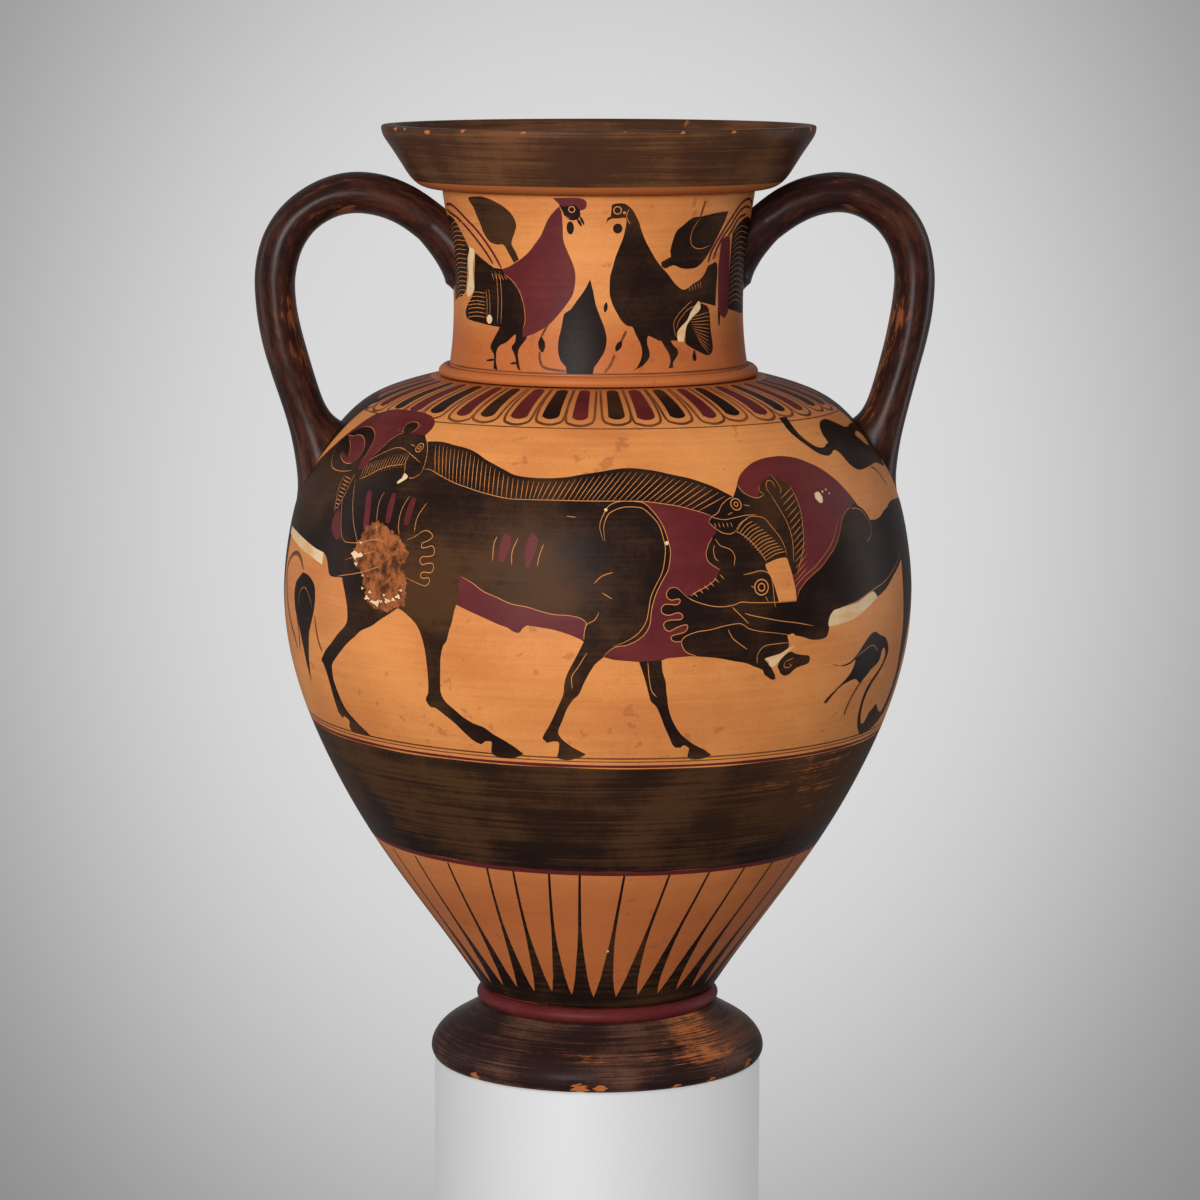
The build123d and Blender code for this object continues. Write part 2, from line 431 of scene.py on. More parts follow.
red = paint_finish("added_red", (0.085, 0.0105, 0.0125), (0.125, 0.019, 0.017), 0.5, 0.7, 0.12)
fillet_outline = [(46, 25.0), *arc((50.4, 25.0), (52.0, 28.0), (49.6, 31.0), 12), (46, 31.0)]
fillet = turn("foot_fillet_red", fillet_outline, red, 192)
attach(fillet, "root")
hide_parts("foot_fillet")


# ---------------------------------------------------------------- foot
# A heavy echinus disc, 143 mm across and 25 mm high, hollow below. Its black slip is rubbed
# through in rings, most on the right, and chipped to the clay along the edge.
def black_finish(
    name, dark=(0.0125, 0.006, 0.005), thin_colour=(0.06, 0.025, 0.009), thin_share=0.6, across=1.0,
):
    """Iron-black slip gloss: brown where brushed thin and where the mark called brown says so, clay where
    the mark called bare says so.
    """
    material, shader, place = finish(name, Specular_IOR_Level=0.045)
    cloud = place.noise(38, detail=4.0)
    brushed = place.noise(8 * across, (9, 9, 0.17), 3.0)
    grain = place.noise(1.5, detail=2.0)
    wheeled = place.part(2).rise(0.15, 0.138) + place.part(2).rise(0.36, 0.37)
    streaks = (brushed - 0.5) * (0.14 + wheeled * 0.32)
    patchy = ((cloud - 0.5) * 0.68 + streaks + (grain - 0.5) * 0.1 + 0.5).rise(0.38, 0.7)
    thin = (patchy * thin_share + place.marked("brown") * (0.45 + patchy * 0.55)).rise(0.0, 1.0)
    colour = thin.mix(dark, thin_colour)
    bare = place.marked("bare")
    rub = place.noise(5 * across, (10, 10, 0.11), 4.0, 0.7) * 0.75 + place.noise(6, detail=4.0) * 0.25
    worn = (bare + (rub - 0.5) * 1.7).rise(0.62, 0.8) * bare.rise(0.0, 0.05)
    colour = worn.mix(colour, (0.4, 0.118, 0.034))
    feed(material.node_tree, shader.inputs["Base Color"], colour)
    feed(
        material.node_tree,
        shader.inputs["Roughness"],
        0.36 + thin * 0.13 + worn * 0.15 + (grain - 0.5) * 0.12,
    )
    height = brushed * 0.03 + grain * 0.012 - worn * 0.04
    feed(material.node_tree, shader.inputs["Normal"], height.bump(1.0))
    return material


def chipped(chips):
    """Dents at (azimuth, height, width, depth), for turn's wobble."""

    def dent(radius, height, angle):
        for azimuth, level, width, depth in chips:
            off = (angle - math.radians(azimuth) + math.pi) % (2 * math.pi) - math.pi
            reach = np.hypot(off * radius, (height - level) * 1.6) / width
            ragged = 1 + 0.3 * np.sin(off * radius * 2.3 + level)
            near = np.clip(1.2 * ragged - reach, 0, 1)
            radius = radius - depth * near * (radius > 40)
        return radius, height

    return dent


def mark(made, name, amount):
    """Stores one number for each point of the piece."""
    made.data.attributes.new(name, "FLOAT", "POINT").data.foreach_set("value", amount.astype(np.float32))


def places(made):
    """Azimuth, height and radius of each point of a piece, in degrees and millimetres."""
    flat = np.zeros(len(made.data.vertices) * 3)
    made.data.vertices.foreach_get("co", flat)
    x, y, z = flat.reshape(-1, 3).T * 1000
    return np.degrees(np.arctan2(x, -y)), z, np.hypot(x, y)


def chip_marks(made, chips):
    """How far the clay shows round each chip, at each point of the piece."""
    azimuth, height, radius = places(made)
    bare = np.zeros(len(height))
    for spot, level, width, depth in chips:
        off = np.radians((azimuth - spot + 180) % 360 - 180) * radius
        ragged = 0.5 * np.sin(off * 2.9 + spot) * np.sin(height * 3.1 + spot)
        bare = np.maximum(
            bare,
            np.clip(1.9 + ragged - 1.6 * np.hypot(off, (height - level) * 1.6) / width, 0, 1.4),
        )
    return bare


foot_chips = [
    (-9, 2.0, 4.5, 0.8), (-2, 2.5, 3.2, 0.6), (-50, 2.0, 3.5, 0.7), (62, 3.0, 4.0, 0.9),
    (25, 1.2, 2.0, 0.5), (118, 2.5, 4.0, 0.8), (200, 2.2, 3.0, 0.7), (40, 1.5, 2.4, 0.5),
]
foot_side = trace("foot", (58, 10), -118, 117, 130)
foot_under = [(0.01, 25), (0.01, 13), (18, 12.4), (31.6, 10.7), (45, 5.5)]
black_foot = black_finish(
    "black_foot", dark=(0.019, 0.009, 0.008), thin_colour=(0.13, 0.057, 0.036), thin_share=0.7, across=0.5,
)
foot = turn("foot_black", [*foot_side, *foot_under], black_foot, 288, chipped(foot_chips))
azimuth, height, radius = places(foot)
right_rub = np.exp(-(((azimuth - 42) / 30) ** 2)) * np.clip((height - 5) / 5, 0, 1) * 0.72
ring_rub = 0.24 + 0.12 * np.cos(np.radians(azimuth * 2 - 30)) + 0.2 * np.exp(-(((height - 14) / 3) ** 2))
bare = np.maximum(right_rub, ring_rub) * (height > 1)
bare = np.maximum(bare, 0.55 * np.exp(-(((height - 1.2) / 1.0) ** 2)))
mark(foot, "bare", np.maximum(bare, chip_marks(foot, foot_chips)))
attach(foot, "root")
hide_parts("foot")

# ---------------------------------------------------------------- mouth
# A flaring cup mouth, 183 mm across and 27 mm high, black inside and out. Its underside is left in clay,
# and the rim has lost small chips.
rim_chips = [
    (-70, 399, 2.1, 0.6), (-64, 399.3, 1.3, 0.4), (-53, 398.4, 2.2, 0.6), (-40, 399.5, 1.0, 0.3),
    (-22, 399.3, 1.5, 0.4), (4, 399.6, 0.8, 0.3), (19, 399.4, 1.4, 0.4), (34, 399.3, 1.5, 0.5),
    (57, 399.3, 1.2, 0.4), (72, 399, 2.2, 0.6), (150, 399, 2.4, 0.6), (215, 399, 1.8, 0.5),
]
mouth_loop = trace("mouth", (77, 383), 0, 359, 240, blur=1)
black_mouth = black_finish(
    "black_mouth", dark=(0.055, 0.0235, 0.0125), thin_colour=(0.135, 0.056, 0.023), thin_share=0.9,
    across=0.8,
)
mouth = turn("mouth_black", mouth_loop, black_mouth, 288, chipped(rim_chips))
azimuth, height, radius = places(mouth)
under = np.clip((377.2 - height) / 0.8, 0, 1) * (radius > 65.5) * (radius < 80) * 2
brushed = 0.14 + 0.08 * np.sin(np.radians(azimuth * 3 + 20))
mark(mouth, "bare", np.maximum(np.maximum(under, chip_marks(mouth, rim_chips)), brushed))
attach(mouth, "root")
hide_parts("mouth")


# ---------------------------------------------------------------- handles
# Two pulled straps of oval section, 25 by 17 mm, from under the mouth over a crown down to the
# shoulder. The black slip is rubbed to brown streaks along the outside of each strap.
def blend(points, steps):
    """A smooth line through the points, as many steps to each stretch as asked."""
    points = np.asarray(points, float)
    before, after = 2 * points[0] - points[1], 2 * points[-1] - points[-2]
    line = np.concatenate([[before], points, [after]])
    share = (np.arange(steps) / steps)[:, None]
    runs = []
    for a, b, c, d in zip(line, line[1:], line[2:], line[3:]):
        bend = (2 * a - 5 * b + 4 * c - d) * share**2 + (3 * b - a - 3 * c + d) * share**3
        runs.append(b + 0.5 * ((c - a) * share + bend))
    return np.concatenate([*runs, points[-1:]])


# The right strap's middle line from neck to shoulder, as (distance from the axis, height).
handle_line = [
    (46.5, 331), (52.7, 339.3), (58, 346), (64, 352.6), (71.7, 359.6), (81.6, 366.2), (92.4, 370.3),
    (104.2, 371.4), (115.2, 368.5), (125, 361.6), (131.6, 351.5), (134.6, 338.5), (134.3, 325),
    (132.2, 311.5), (128.8, 298), (124.6, 283.8), (119.4, 267.2), (115.2, 250.5), (113.6, 237),
]


# Sizes of the strap in millimetres: its two widths, how much wider it grows at either end and
# the webs of clay under its joints. Above joint_level it meets the neck, whose face is at
# neck_face; the strap ends inside the wall, at neck_root.
strap_thick = 17.2
strap_deep = 25
neck_flare = 7.0
shoulder_flare = 14.0
neck_web = 2.0
shoulder_web = 6.5
joint_level = 299
neck_face = 61
neck_root = 58.5


def strap(name, side, material, bow):
    """One handle: oval rings along its line, flared where it meets the neck and the shoulder."""
    line = blend(handle_line, 14)
    way = np.gradient(line, axis=0)
    way /= np.linalg.norm(way, axis=1)[:, None]
    gone = np.concatenate([[0], np.cumsum(np.hypot(*np.diff(line, axis=0).T))])
    around = np.radians(np.arange(64) * 360 / 64)
    points, along, turned = [], [], []
    for (x, z), (dx, dz), share in zip(line, way, gone / gone[-1]):
        flare = neck_flare * max(0, 0.16 - share) / 0.16
        flare += shoulder_flare * (max(0, share - 0.78) / 0.22) ** 2
        under = (x + dz * strap_thick / 2, z - dx * strap_thick / 2)
        under_wall = np.interp(under[1], body_wall.outline[:, 1], body_wall.outline[:, 0])
        if under[1] > joint_level:
            web = neck_web * math.exp(-abs(under[0] - neck_face) / 3)
        else:
            web = shoulder_web * math.exp(-max(0, under[0] - under_wall) / 4.5)
        swing = bow * math.sin(math.pi * min(1, max(0, (share - 0.25) / 0.75))) ** 2
        lumps = 0.16 * np.sin(3 * around + share * 19) + 0.12 * math.sin(share * 31 + side)
        thick = (strap_thick + flare) / 2 + lumps
        deep = (strap_deep + flare) / 2 + lumps
        for angle, half_thick, half_deep in zip(around, thick + web * np.maximum(0, np.cos(around)), deep):
            off = math.cos(angle) * half_thick
            spot = Vector((side * (x + dz * off + swing), math.sin(angle) * half_deep, z - dx * off))
            wall_at = np.interp(spot.z, body_wall.outline[:, 1], body_wall.outline[:, 0]) - 4
            short = (neck_root if spot.z > joint_level else wall_at) / math.hypot(spot.x, spot.y)
            points.append(Vector((spot.x * short, spot.y * short, spot.z)) if short > 1 else spot)
            along.append(share)
            turned.append(math.cos(angle))
    rings, sides, faces = len(line), len(around), []
    for number in range(rings - 1):
        for step in range(sides):
            here, after = number * sides + step, number * sides + (step + 1) % sides
            faces.append((here, after, after + sides, here + sides))
    faces += [tuple(range(sides))[::-1], tuple((rings - 1) * sides + step for step in range(sides))]
    made = piece(f"{name}_black", points, faces if side > 0 else [face[::-1] for face in faces], material)
    along, turned = np.array(along), np.array(turned)
    mark(made, "along", along * 470)
    mark(made, "outside", turned)
    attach(made, "root")
    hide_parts(name)
    return made, along, turned


def handle_finish(name, rub_share):
    """Black slip worn in long streaks that follow the strap."""
    material, shader, place = finish(name, Specular_IOR_Level=0.1)
    along, outside = place.marked("along"), place.marked("outside")
    depth = place.part(1)
    lie = place.node("ShaderNodeCombineXYZ", {}, {0: along * 0.00012, 1: depth, 2: outside * 0.01})
    streak = lie.noise(2.6, detail=4.0, roughness=0.65)
    cloud = place.noise(30, detail=3.0)
    grain = place.noise(1.5, detail=2.0)
    thin = (streak * 0.6 + cloud * 0.4).rise(0.42, 0.66) * 0.6
    colour = thin.mix((0.017, 0.0068, 0.006), (0.085, 0.026, 0.013))
    worn = (place.marked("bare") + (streak - 0.5) * 1.5 + (cloud - 0.5) * 0.7).rise(0.55, 0.8) * rub_share
    colour = worn.mix(colour, (0.24, 0.066, 0.021))
    feed(material.node_tree, shader.inputs["Base Color"], colour)
    feed(
        material.node_tree, shader.inputs["Roughness"],
        0.3 + thin * 0.12 + worn * 0.15 + (grain - 0.5) * 0.1,
    )
    feed(
        material.node_tree, shader.inputs["Normal"],
        (streak * 0.06 + grain * 0.012 - worn * 0.03).bump(1.0),
    )
    return material


for name, side, bow, worn_at, crown in (
    ("left_handle", -1, 1.6, 0.64, 0.36),
    ("right_handle", 1, -0.8, 0.67, 0.3),
):
    made, along, turned = strap(name, side, handle_finish(f"{name}_slip", 0.85), bow)
    rub = 0.34 * np.clip(turned, 0, 1) + 0.25 * np.exp(-(((along - worn_at) / 0.16) ** 2)) + 0.08
    rub = np.maximum(rub, 0.3 * np.clip(-turned, 0, 1)) + 0.24 * np.exp(-(((along - crown) / 0.07) ** 2))
    mark(made, "bare", rub)


# ---------------------------------------------------------------- painted bands, rays and tongues
# Slip brushed on while the vase turned: a wide black band with dull red lines at its edges, thin
# brown ground lines, rays over the foot and a row of black and dull red tongues on the shoulder.
def shape(wall, *runs):
    """A closed flat outline; each run is smooth, with a corner where one run ends."""
    scale = np.array((wall.flat, 1.0))
    return np.concatenate(
        [blend(np.array(run) * scale, 4) if len(run) > 2 else np.array(run) * scale for run in runs]
    )


def stroke(wall, line, width, ends=0.4, steps=4):
    """One pull of a brush or point, that many millimetres wide, narrower at its ends."""
    line = np.array(line, float) * np.array((wall.flat, 1.0))
    line = blend(line, steps) if len(line) > 2 else np.linspace(line[0], line[1], 4)
    way = np.gradient(line, axis=0)
    way /= np.maximum(np.linalg.norm(way, axis=1), 1e-6)[:, None]
    share = np.linspace(0, 1, len(line))
    half = width / 2 * np.minimum(1, ends + np.minimum(share, 1 - share) * 6)
    side = np.stack([-way[:, 1], way[:, 0]], -1) * half[:, None]
    left, right = line + side, line - side
    return [np.array((left[i], left[i + 1], right[i + 1], right[i])) for i in range(len(line) - 1)]


def dot(wall, centre, radius, squash=1.0):
    """A small filled disc, or an oval where squash is not 1."""
    angle = np.radians(np.arange(16) * 22.5)
    middle = np.array(centre) * np.array((wall.flat, 1.0))
    return middle + np.stack([np.cos(angle) * radius, np.sin(angle) * radius * squash], -1)


def ring(wall, centre, radius, width):
    """A circle drawn in one pull."""
    angle = np.radians(np.arange(21) * 18)
    turned = [(centre[0] + np.cos(a) * radius / wall.flat, centre[1] + np.sin(a) * radius) for a in angle]
    return stroke(wall, turned, width, 1.0, 2)


def fine(outline, longest=2.2):
    """The same outline with its long straight sides cut into short ones, so that it hugs the wall."""
    spots = []
    for here, after in zip(outline, np.roll(outline, -1, 0)):
        steps = max(1, math.ceil(np.linalg.norm(after - here) / longest))
        spots += [here + (after - here) * step / steps for step in range(steps)]
    return np.array(spots)


def covered(spots, outlines):
    """Which of the flat spots lie inside any of the outlines."""
    order = np.argsort(spots[:, 0])
    x, y = spots[order].T
    found = np.zeros(len(order), bool)
    for outline in outlines:
        first, last = np.searchsorted(x, (outline[:, 0].min(), outline[:, 0].max()))
        near = first + np.flatnonzero(
            (y[first:last] > outline[:, 1].min()) & (y[first:last] < outline[:, 1].max())
        )
        turns = np.zeros(len(near), int)
        for (ax, ay), (bx, by) in zip(outline, np.roll(outline, -1, 0)):
            side = (bx - ax) * (y[near] - ay) - (x[near] - ax) * (by - ay)
            turns += ((ay <= y[near]) & (by > y[near]) & (side > 0)).astype(int)
            turns -= ((ay > y[near]) & (by <= y[near]) & (side < 0)).astype(int)
        found[near] |= turns != 0
    answer = np.zeros(len(order), bool)
    answer[order] = found
    return answer


def coat(name, wall, fills, cuts, lift, material, under=-0.06, spacing=2.6):
    """A thin closed coat on the wall: everything inside a fill and outside every cut."""
    corners, edges = [], []
    for outline in [fine(outline) for outline in [*fills, *cuts]]:
        first, last = len(corners), len(corners) + len(outline) - 1
        edges += [(number, number + 1) for number in range(first, last)] + [(last, first)]
        corners.extend(outline)
    boxes = [(*fill.min(0), *fill.max(0)) for fill in fills]
    low, high = np.min([box[:2] for box in boxes], 0), np.max([box[2:] for box in boxes], 0)
    rows = np.arange(low[1] + 0.31, high[1], spacing * 0.87)
    for number, row in enumerate(rows):
        columns = np.arange(low[0] + spacing / 2 * (number % 2) + 0.17, high[0], spacing)
        near = np.zeros(len(columns), bool)
        for left, bottom, right, top in boxes:
            if bottom < row < top:
                near |= (columns > left) & (columns < right)
        corners.extend((column, row) for column in columns[near])
    made = delaunay_2d_cdt([Vector(corner) for corner in corners], edges, [], 0, 1e-4, False)
    spots, triangles = np.array([spot[:] for spot in made[0]]), np.array(made[2])
    middles = spots[triangles].mean(1)
    kept = triangles[covered(middles, fills) & ~covered(middles, cuts)].tolist()
    used = sorted({corner for triangle in kept for corner in triangle})
    place_of = {corner: number for number, corner in enumerate(used)}
    top = [tuple(place_of[corner] for corner in triangle) for triangle in kept]
    edges = {(a, b) for t in top for a, b in ((t[0], t[1]), (t[1], t[2]), (t[2], t[0]))}
    rim = [(a, b) for a, b in edges if (b, a) not in edges]
    half = len(used)
    bottom = [(c + half, b + half, a + half) for a, b, c in top]
    sides = [(b, a, a + half, b + half) for a, b in rim]
    azimuth, tape = spots[used, 0] / wall.flat, spots[used, 1]
    points = np.concatenate([wall.at(azimuth, tape, lift), wall.at(azimuth, tape, under)])
    made = piece(name, points, [*top, *bottom, *sides], material)
    smooth = np.ones(len(made.data.polygons), bool)
    smooth[len(top) + len(bottom) :] = False
    made.data.polygons.foreach_set("use_smooth", smooth)
    facing = np.radians(azimuth)
    out_radius, out_height = (np.interp(tape, wall.tape, wall.out[:, axis]) for axis in (0, 1))
    out = np.stack([out_radius * np.sin(facing), -out_radius * np.cos(facing), out_height], -1)
    out /= np.linalg.norm(out, axis=1)[:, None]
    made.data.normals_split_custom_set_from_vertices(np.concatenate([out, out]).tolist())
    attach(made, "root")
    return made


def lean(azimuth):
    """The bands were brushed on a slightly tilted wheel, so they sit lower at the right."""
    return -1.3 * np.cos(np.radians(azimuth)) - 2.1 * np.sin(np.radians(azimuth))


def hoop(wall, low, high, tilt=1.0, ragged=0.0):
    """A band right round the wall, closed under the left handle."""
    azimuth = np.linspace(-90, 270, 145)
    waver = ragged * (np.sin(np.radians(azimuth * 7)) + np.sin(np.radians(azimuth * 17 + low)))
    under = np.stack([azimuth * wall.flat, low + tilt * lean(azimuth) + waver], -1)
    over = np.stack([azimuth * wall.flat, high + tilt * lean(azimuth) - waver], -1)
    return [np.concatenate([under, over[::-1]])]


on_body = body_wall
half_turn = np.array((180 * body_wall.flat, 0))
band = hoop(on_body, 86.0, 138.8, 1.0, 0.12)
ray_tops = [-54.8, -42.7, -30.9, -23.9, -14.8, -7.3, 3.6, 15, 25.8, 36.5, 46.8, 57.5]
ray_feet = [-55, -45.7, -37, -27.6, -19, -9.7, 0.3, 10.3, 20, 30, 39.6, 49.7]
ray_tops = [-86.5, -76, -65.5, *ray_tops, 67.5, 77.5, 88]
ray_feet = [-85.5, -75.2, -65, *ray_feet, 60, 70, 80.5]
ray_levels = np.array((83.6, 66, 50, 40, 30, 20, 13, 8, 4))
ray_halves = np.array((0.27, 0.38, 0.52, 0.9, 1.6, 2.5, 3.7, 5.1, 5.3))
rays = []
for top, foot_at in zip(ray_tops, ray_feet):
    middle = foot_at + (top - foot_at) * np.clip((ray_levels - 10) / 72, 0, 1)
    sides = [np.stack([(middle + way * ray_halves) * on_body.flat, ray_levels], -1) for way in (-1, 1)]
    rays.append(np.concatenate([sides[0], sides[1][::-1]]))
rays += [ray + half_turn for ray in rays]
foot_ring = hoop(on_body, 1.6, 8.6, 0.7, 0.2)

tongue_count = 46
black_tongues, red_tongues, brown_tongues = [], [], []
for number in range(tongue_count):
    middle = -90 + (number + 0.62) * 360 / tongue_count + 0.5 * math.sin(number * 2.4)
    width = 2.05 + 0.16 * math.sin(number * 1.7)
    low_end = 288.6 + 0.7 * math.sin(number * 3.1)
    turns = np.radians(np.linspace(0, 180, 9))
    round_top = [
        (middle + width * 0.9 * math.cos(turned), 314.2 + 2.6 * math.sin(turned))
        for turned in turns
    ]
    tip = [(middle - width * math.cos(turned), low_end + 2.6 - 3 * math.sin(turned)) for turned in turns]
    outline = shape(on_body, [*round_top, *tip])
    (black_tongues if number % 2 else red_tongues).append(outline)
    loop = [
        (middle - 3.75, 318.6), (middle - 3.6, 300), (middle - 3.3, low_end - 0.5),
        (middle - 1.7, low_end - 3.2), (middle + 0.2, low_end - 3.9), (middle + 1.9, low_end - 3.1),
        (middle + 3.3, low_end - 0.3), (middle + 3.6, 300), (middle + 3.75, 318.6),
    ]
    brown_tongues += stroke(on_body, loop, 1.45, 1.0, 3)
brown_lines = [
    *hoop(on_body, 143.2, 143.9), *hoop(on_body, 141.8, 142.3), *hoop(on_body, 282.9, 283.5, 0.3),
]
red_lines = [*hoop(on_body, 83.7, 86.0), *hoop(on_body, 139.3, 140.5, 1.0, 0.08)]

# ---------------------------------------------------------------- the boar
# A great boar walking right with its head down. It is one black silhouette; its neck, the belly
# stripe and two strokes on its side are dull red, and every inner line is cut to the clay.
crest = [
    (-42, 272.9), (-40.1, 273.2), (-37.9, 273.2), (-34.8, 272.1), (-31.9, 271.1), (-30, 270),
    (-28.1, 268.2), (-26.3, 266.1), (-24, 263.9), (-21.8, 261.8), (-20, 260), (-18.1, 259.1),
    (-14.9, 258.6), (-11.8, 258.7), (-8.9, 259.3), (-6.4, 260.4), (-2.6, 261.8), (0.5, 263), (3, 263.4),
    (5.4, 263), (8.6, 261.8), (11.7, 260), (14.9, 258.2), (17.4, 256.1), (19.6, 253.9), (21.2, 251.8),
    (22.8, 249.6),
]
back_line = [
    (-39.8, 259.9), (-38.2, 259.9), (-35.7, 257.9), (-33.8, 256.4), (-31.3, 254.6), (-28.8, 253.2),
    (-26.3, 251.8), (-23.7, 250.6), (-21.2, 249.6), (-18.7, 249.1), (-12.1, 249.1), (-4.2, 248.9),
    (3.9, 248.8), (7, 248.2), (9.5, 247.3), (11.7, 246.4), (13.6, 245.2), (15.5, 243.9), (17.4, 242.4),
    (18.2, 241.4),
]
head_right = [(28, 240), (28, 222), (27.8, 219.3), (28.9, 214.3), (29.6, 209.3), (30, 205.6)]
jaw_right = [
    (34, 205.4), (34, 195), (33.8, 190.9), (31.9, 192.1), (32.2, 188.7), (32.1, 186.3), (30.6, 184.6),
    (29, 183.8), (27.3, 182.9), (28.1, 180.8), (29, 178.3), (29.7, 175.8),
]
jaw = [
    (29.9, 174.2), (29.2, 173.8), (27.5, 176.3), (27, 178.3), (25.3, 180), (23.4, 181.8), (21.2, 182.9),
    (18, 184.6), (13.7, 185.8), (11.9, 185.8), (9, 185.4), (7.9, 184.6), (4.6, 184.2), (2.4, 184.6),
    (-0.2, 185.2), (-2, 186.3),
]
belly = [(-5.4, 192.5), (-6.1, 193.6), (-8, 195.4), (-10.5, 197.1), (-13, 198), (-15.2, 198.6)]
drip = [(-15.9, 197.5), (-16.5, 195.7), (-17.3, 195.7), (-18.7, 197.5)]
belly_back = [(-20.3, 198.6), (-23.1, 201.1), (-25.6, 203.2), (-28.1, 205.5)]
rump = [(-40.1, 204), (-54.8, 212)]
boar = [
    shape(
        on_body, crest, head_right, jaw_right, jaw, belly, drip, belly_back, rump, [(-58, 230), (-52, 262)],
    )
]
far_hind = [
    (-54.8, 210.4), (-53.7, 205), (-52.9, 199.2), (-52.9, 194.2), (-53.8, 191.2), (-56, 187.5),
    (-58.2, 183.3), (-60.5, 179.6), (-62.5, 175.4),
]
far_hind_low = [
    (-62.7, 174.2), (-62.1, 172.9), (-61.4, 169.2), (-61, 163.3), (-60.8, 157.5), (-60.6, 152.5),
]
far_hoof = [
    (-59.5, 150), (-58.8, 151.3), (-58.1, 150.8), (-57.3, 149.6), (-57.9, 147), (-57.5, 144.9),
    (-55.5, 144.2), (-51.5, 144.6),
]
far_inner = [
    (-52.5, 146.3), (-54.3, 149), (-55.3, 150.8), (-57.1, 154.2), (-58.2, 158.3), (-58.8, 162.5),
    (-59.3, 166.7), (-59.3, 170.8), (-58.8, 174.2), (-57.3, 177.1), (-55.3, 180.8), (-53.1, 184.6),
    (-50.9, 187.9), (-49.1, 190.8), (-46.5, 193.2), (-44.3, 196.3), (-42.1, 199.2), (-40.1, 202.1),
]
boar.append(shape(on_body, far_hind, far_hind_low, far_hoof, far_inner, [(-40, 216), (-53, 222)]))
near_hind = [
    (-40.1, 202.1), (-38.8, 200.8), (-36.9, 197.9), (-35.7, 195), (-34.9, 190.8), (-34.4, 185.8),
    (-34.2, 180), (-34.2, 173.3), (-34.5, 168.3), (-35.1, 165.8), (-35.1, 164.2), (-34.4, 162.1),
    (-33.3, 161.7), (-31.4, 158.7), (-29.6, 155.4), (-27.8, 151.2), (-26.3, 148.3), (-25, 147.1),
]
near_hoof = [
    (-24.1, 148.7), (-23, 148.7), (-22.9, 147.5), (-23.1, 143.1), (-21.2, 141.5), (-18.7, 141.8),
    (-16.9, 143.8),
]
near_up = [
    (-18.3, 146.5), (-20.1, 149.2), (-22.3, 152.1), (-24.1, 155), (-25.9, 156.3), (-27.8, 158.7),
    (-29.6, 162.1), (-31.1, 165), (-31.8, 168.3), (-31.8, 171.7), (-31.5, 178.3), (-31.3, 183.3),
    (-30.7, 188.3), (-30, 190.4), (-29.4, 195), (-28.9, 198.3), (-28.5, 202.5), (-28.1, 205.5),
]
boar.append(shape(on_body, near_hind, near_hoof, near_up, [(-28, 212), (-40, 212)]))
near_fore = [
    (-5.4, 192.5), (-6.1, 189.2), (-7.2, 184.2), (-8.3, 179.2), (-8.8, 175), (-9, 170.8), (-9.9, 165.8),
    (-10.9, 160.8), (-11.8, 156.7), (-12.7, 153.3), (-13.1, 151.3),
]
near_fore_hoof = [
    (-12.3, 149.3), (-11.2, 150), (-10.1, 149.6), (-10.3, 145), (-10.5, 142.5), (-8.6, 141.5),
    (-6.1, 143.1), (-5.2, 144.4),
]
near_fore_up = [
    (-7.6, 147.5), (-9, 150), (-9.9, 152.5), (-10.1, 155), (-9.2, 160), (-8.5, 164.2), (-7.4, 168.3),
    (-6.3, 170.8), (-5.5, 175), (-4.6, 179.2), (-3.5, 183.3), (-2, 186.3),
]
boar.append(shape(on_body, near_fore, near_fore_hoof, near_fore_up, [(0, 196), (-4, 200)]))
far_fore = [
    (4.1, 184), (4.6, 180.8), (5.3, 175.8), (5.9, 170.8), (6.4, 167.5), (7.3, 165.4), (8.1, 161.7),
    (9, 156.7), (9.9, 152.5), (10.8, 148.3), (11.5, 146.7),
]
far_fore_hoof = [
    (12.5, 146.7), (13, 147.7), (14.1, 146), (14, 142.5), (15, 140.9), (17.1, 141), (18.8, 142.5),
]
far_fore_up = [
    (17.1, 145.2), (15.2, 147.5), (13.4, 150.4), (11.9, 153.7), (10.8, 157.5), (10.1, 160.8), (9.5, 165),
    (9.2, 169.2), (9, 171.7), (8.8, 175.8), (8.2, 180), (8, 184.6),
]
boar.append(shape(on_body, far_fore, far_fore_hoof, far_fore_up, [(8, 190), (4, 190)]))
snout = [
    (30.1, 179.2), (30.6, 181.7), (31.7, 183.8), (32.8, 184.8), (33.8, 183.8), (35.4, 182.9), (36.9, 182.3),
    (37.3, 180.8), (36.9, 179), (35.4, 178.3), (34.1, 177.5), (32.8, 175.4), (31.7, 175), (30.8, 176.3),
]
boar.append(shape(on_body, snout))

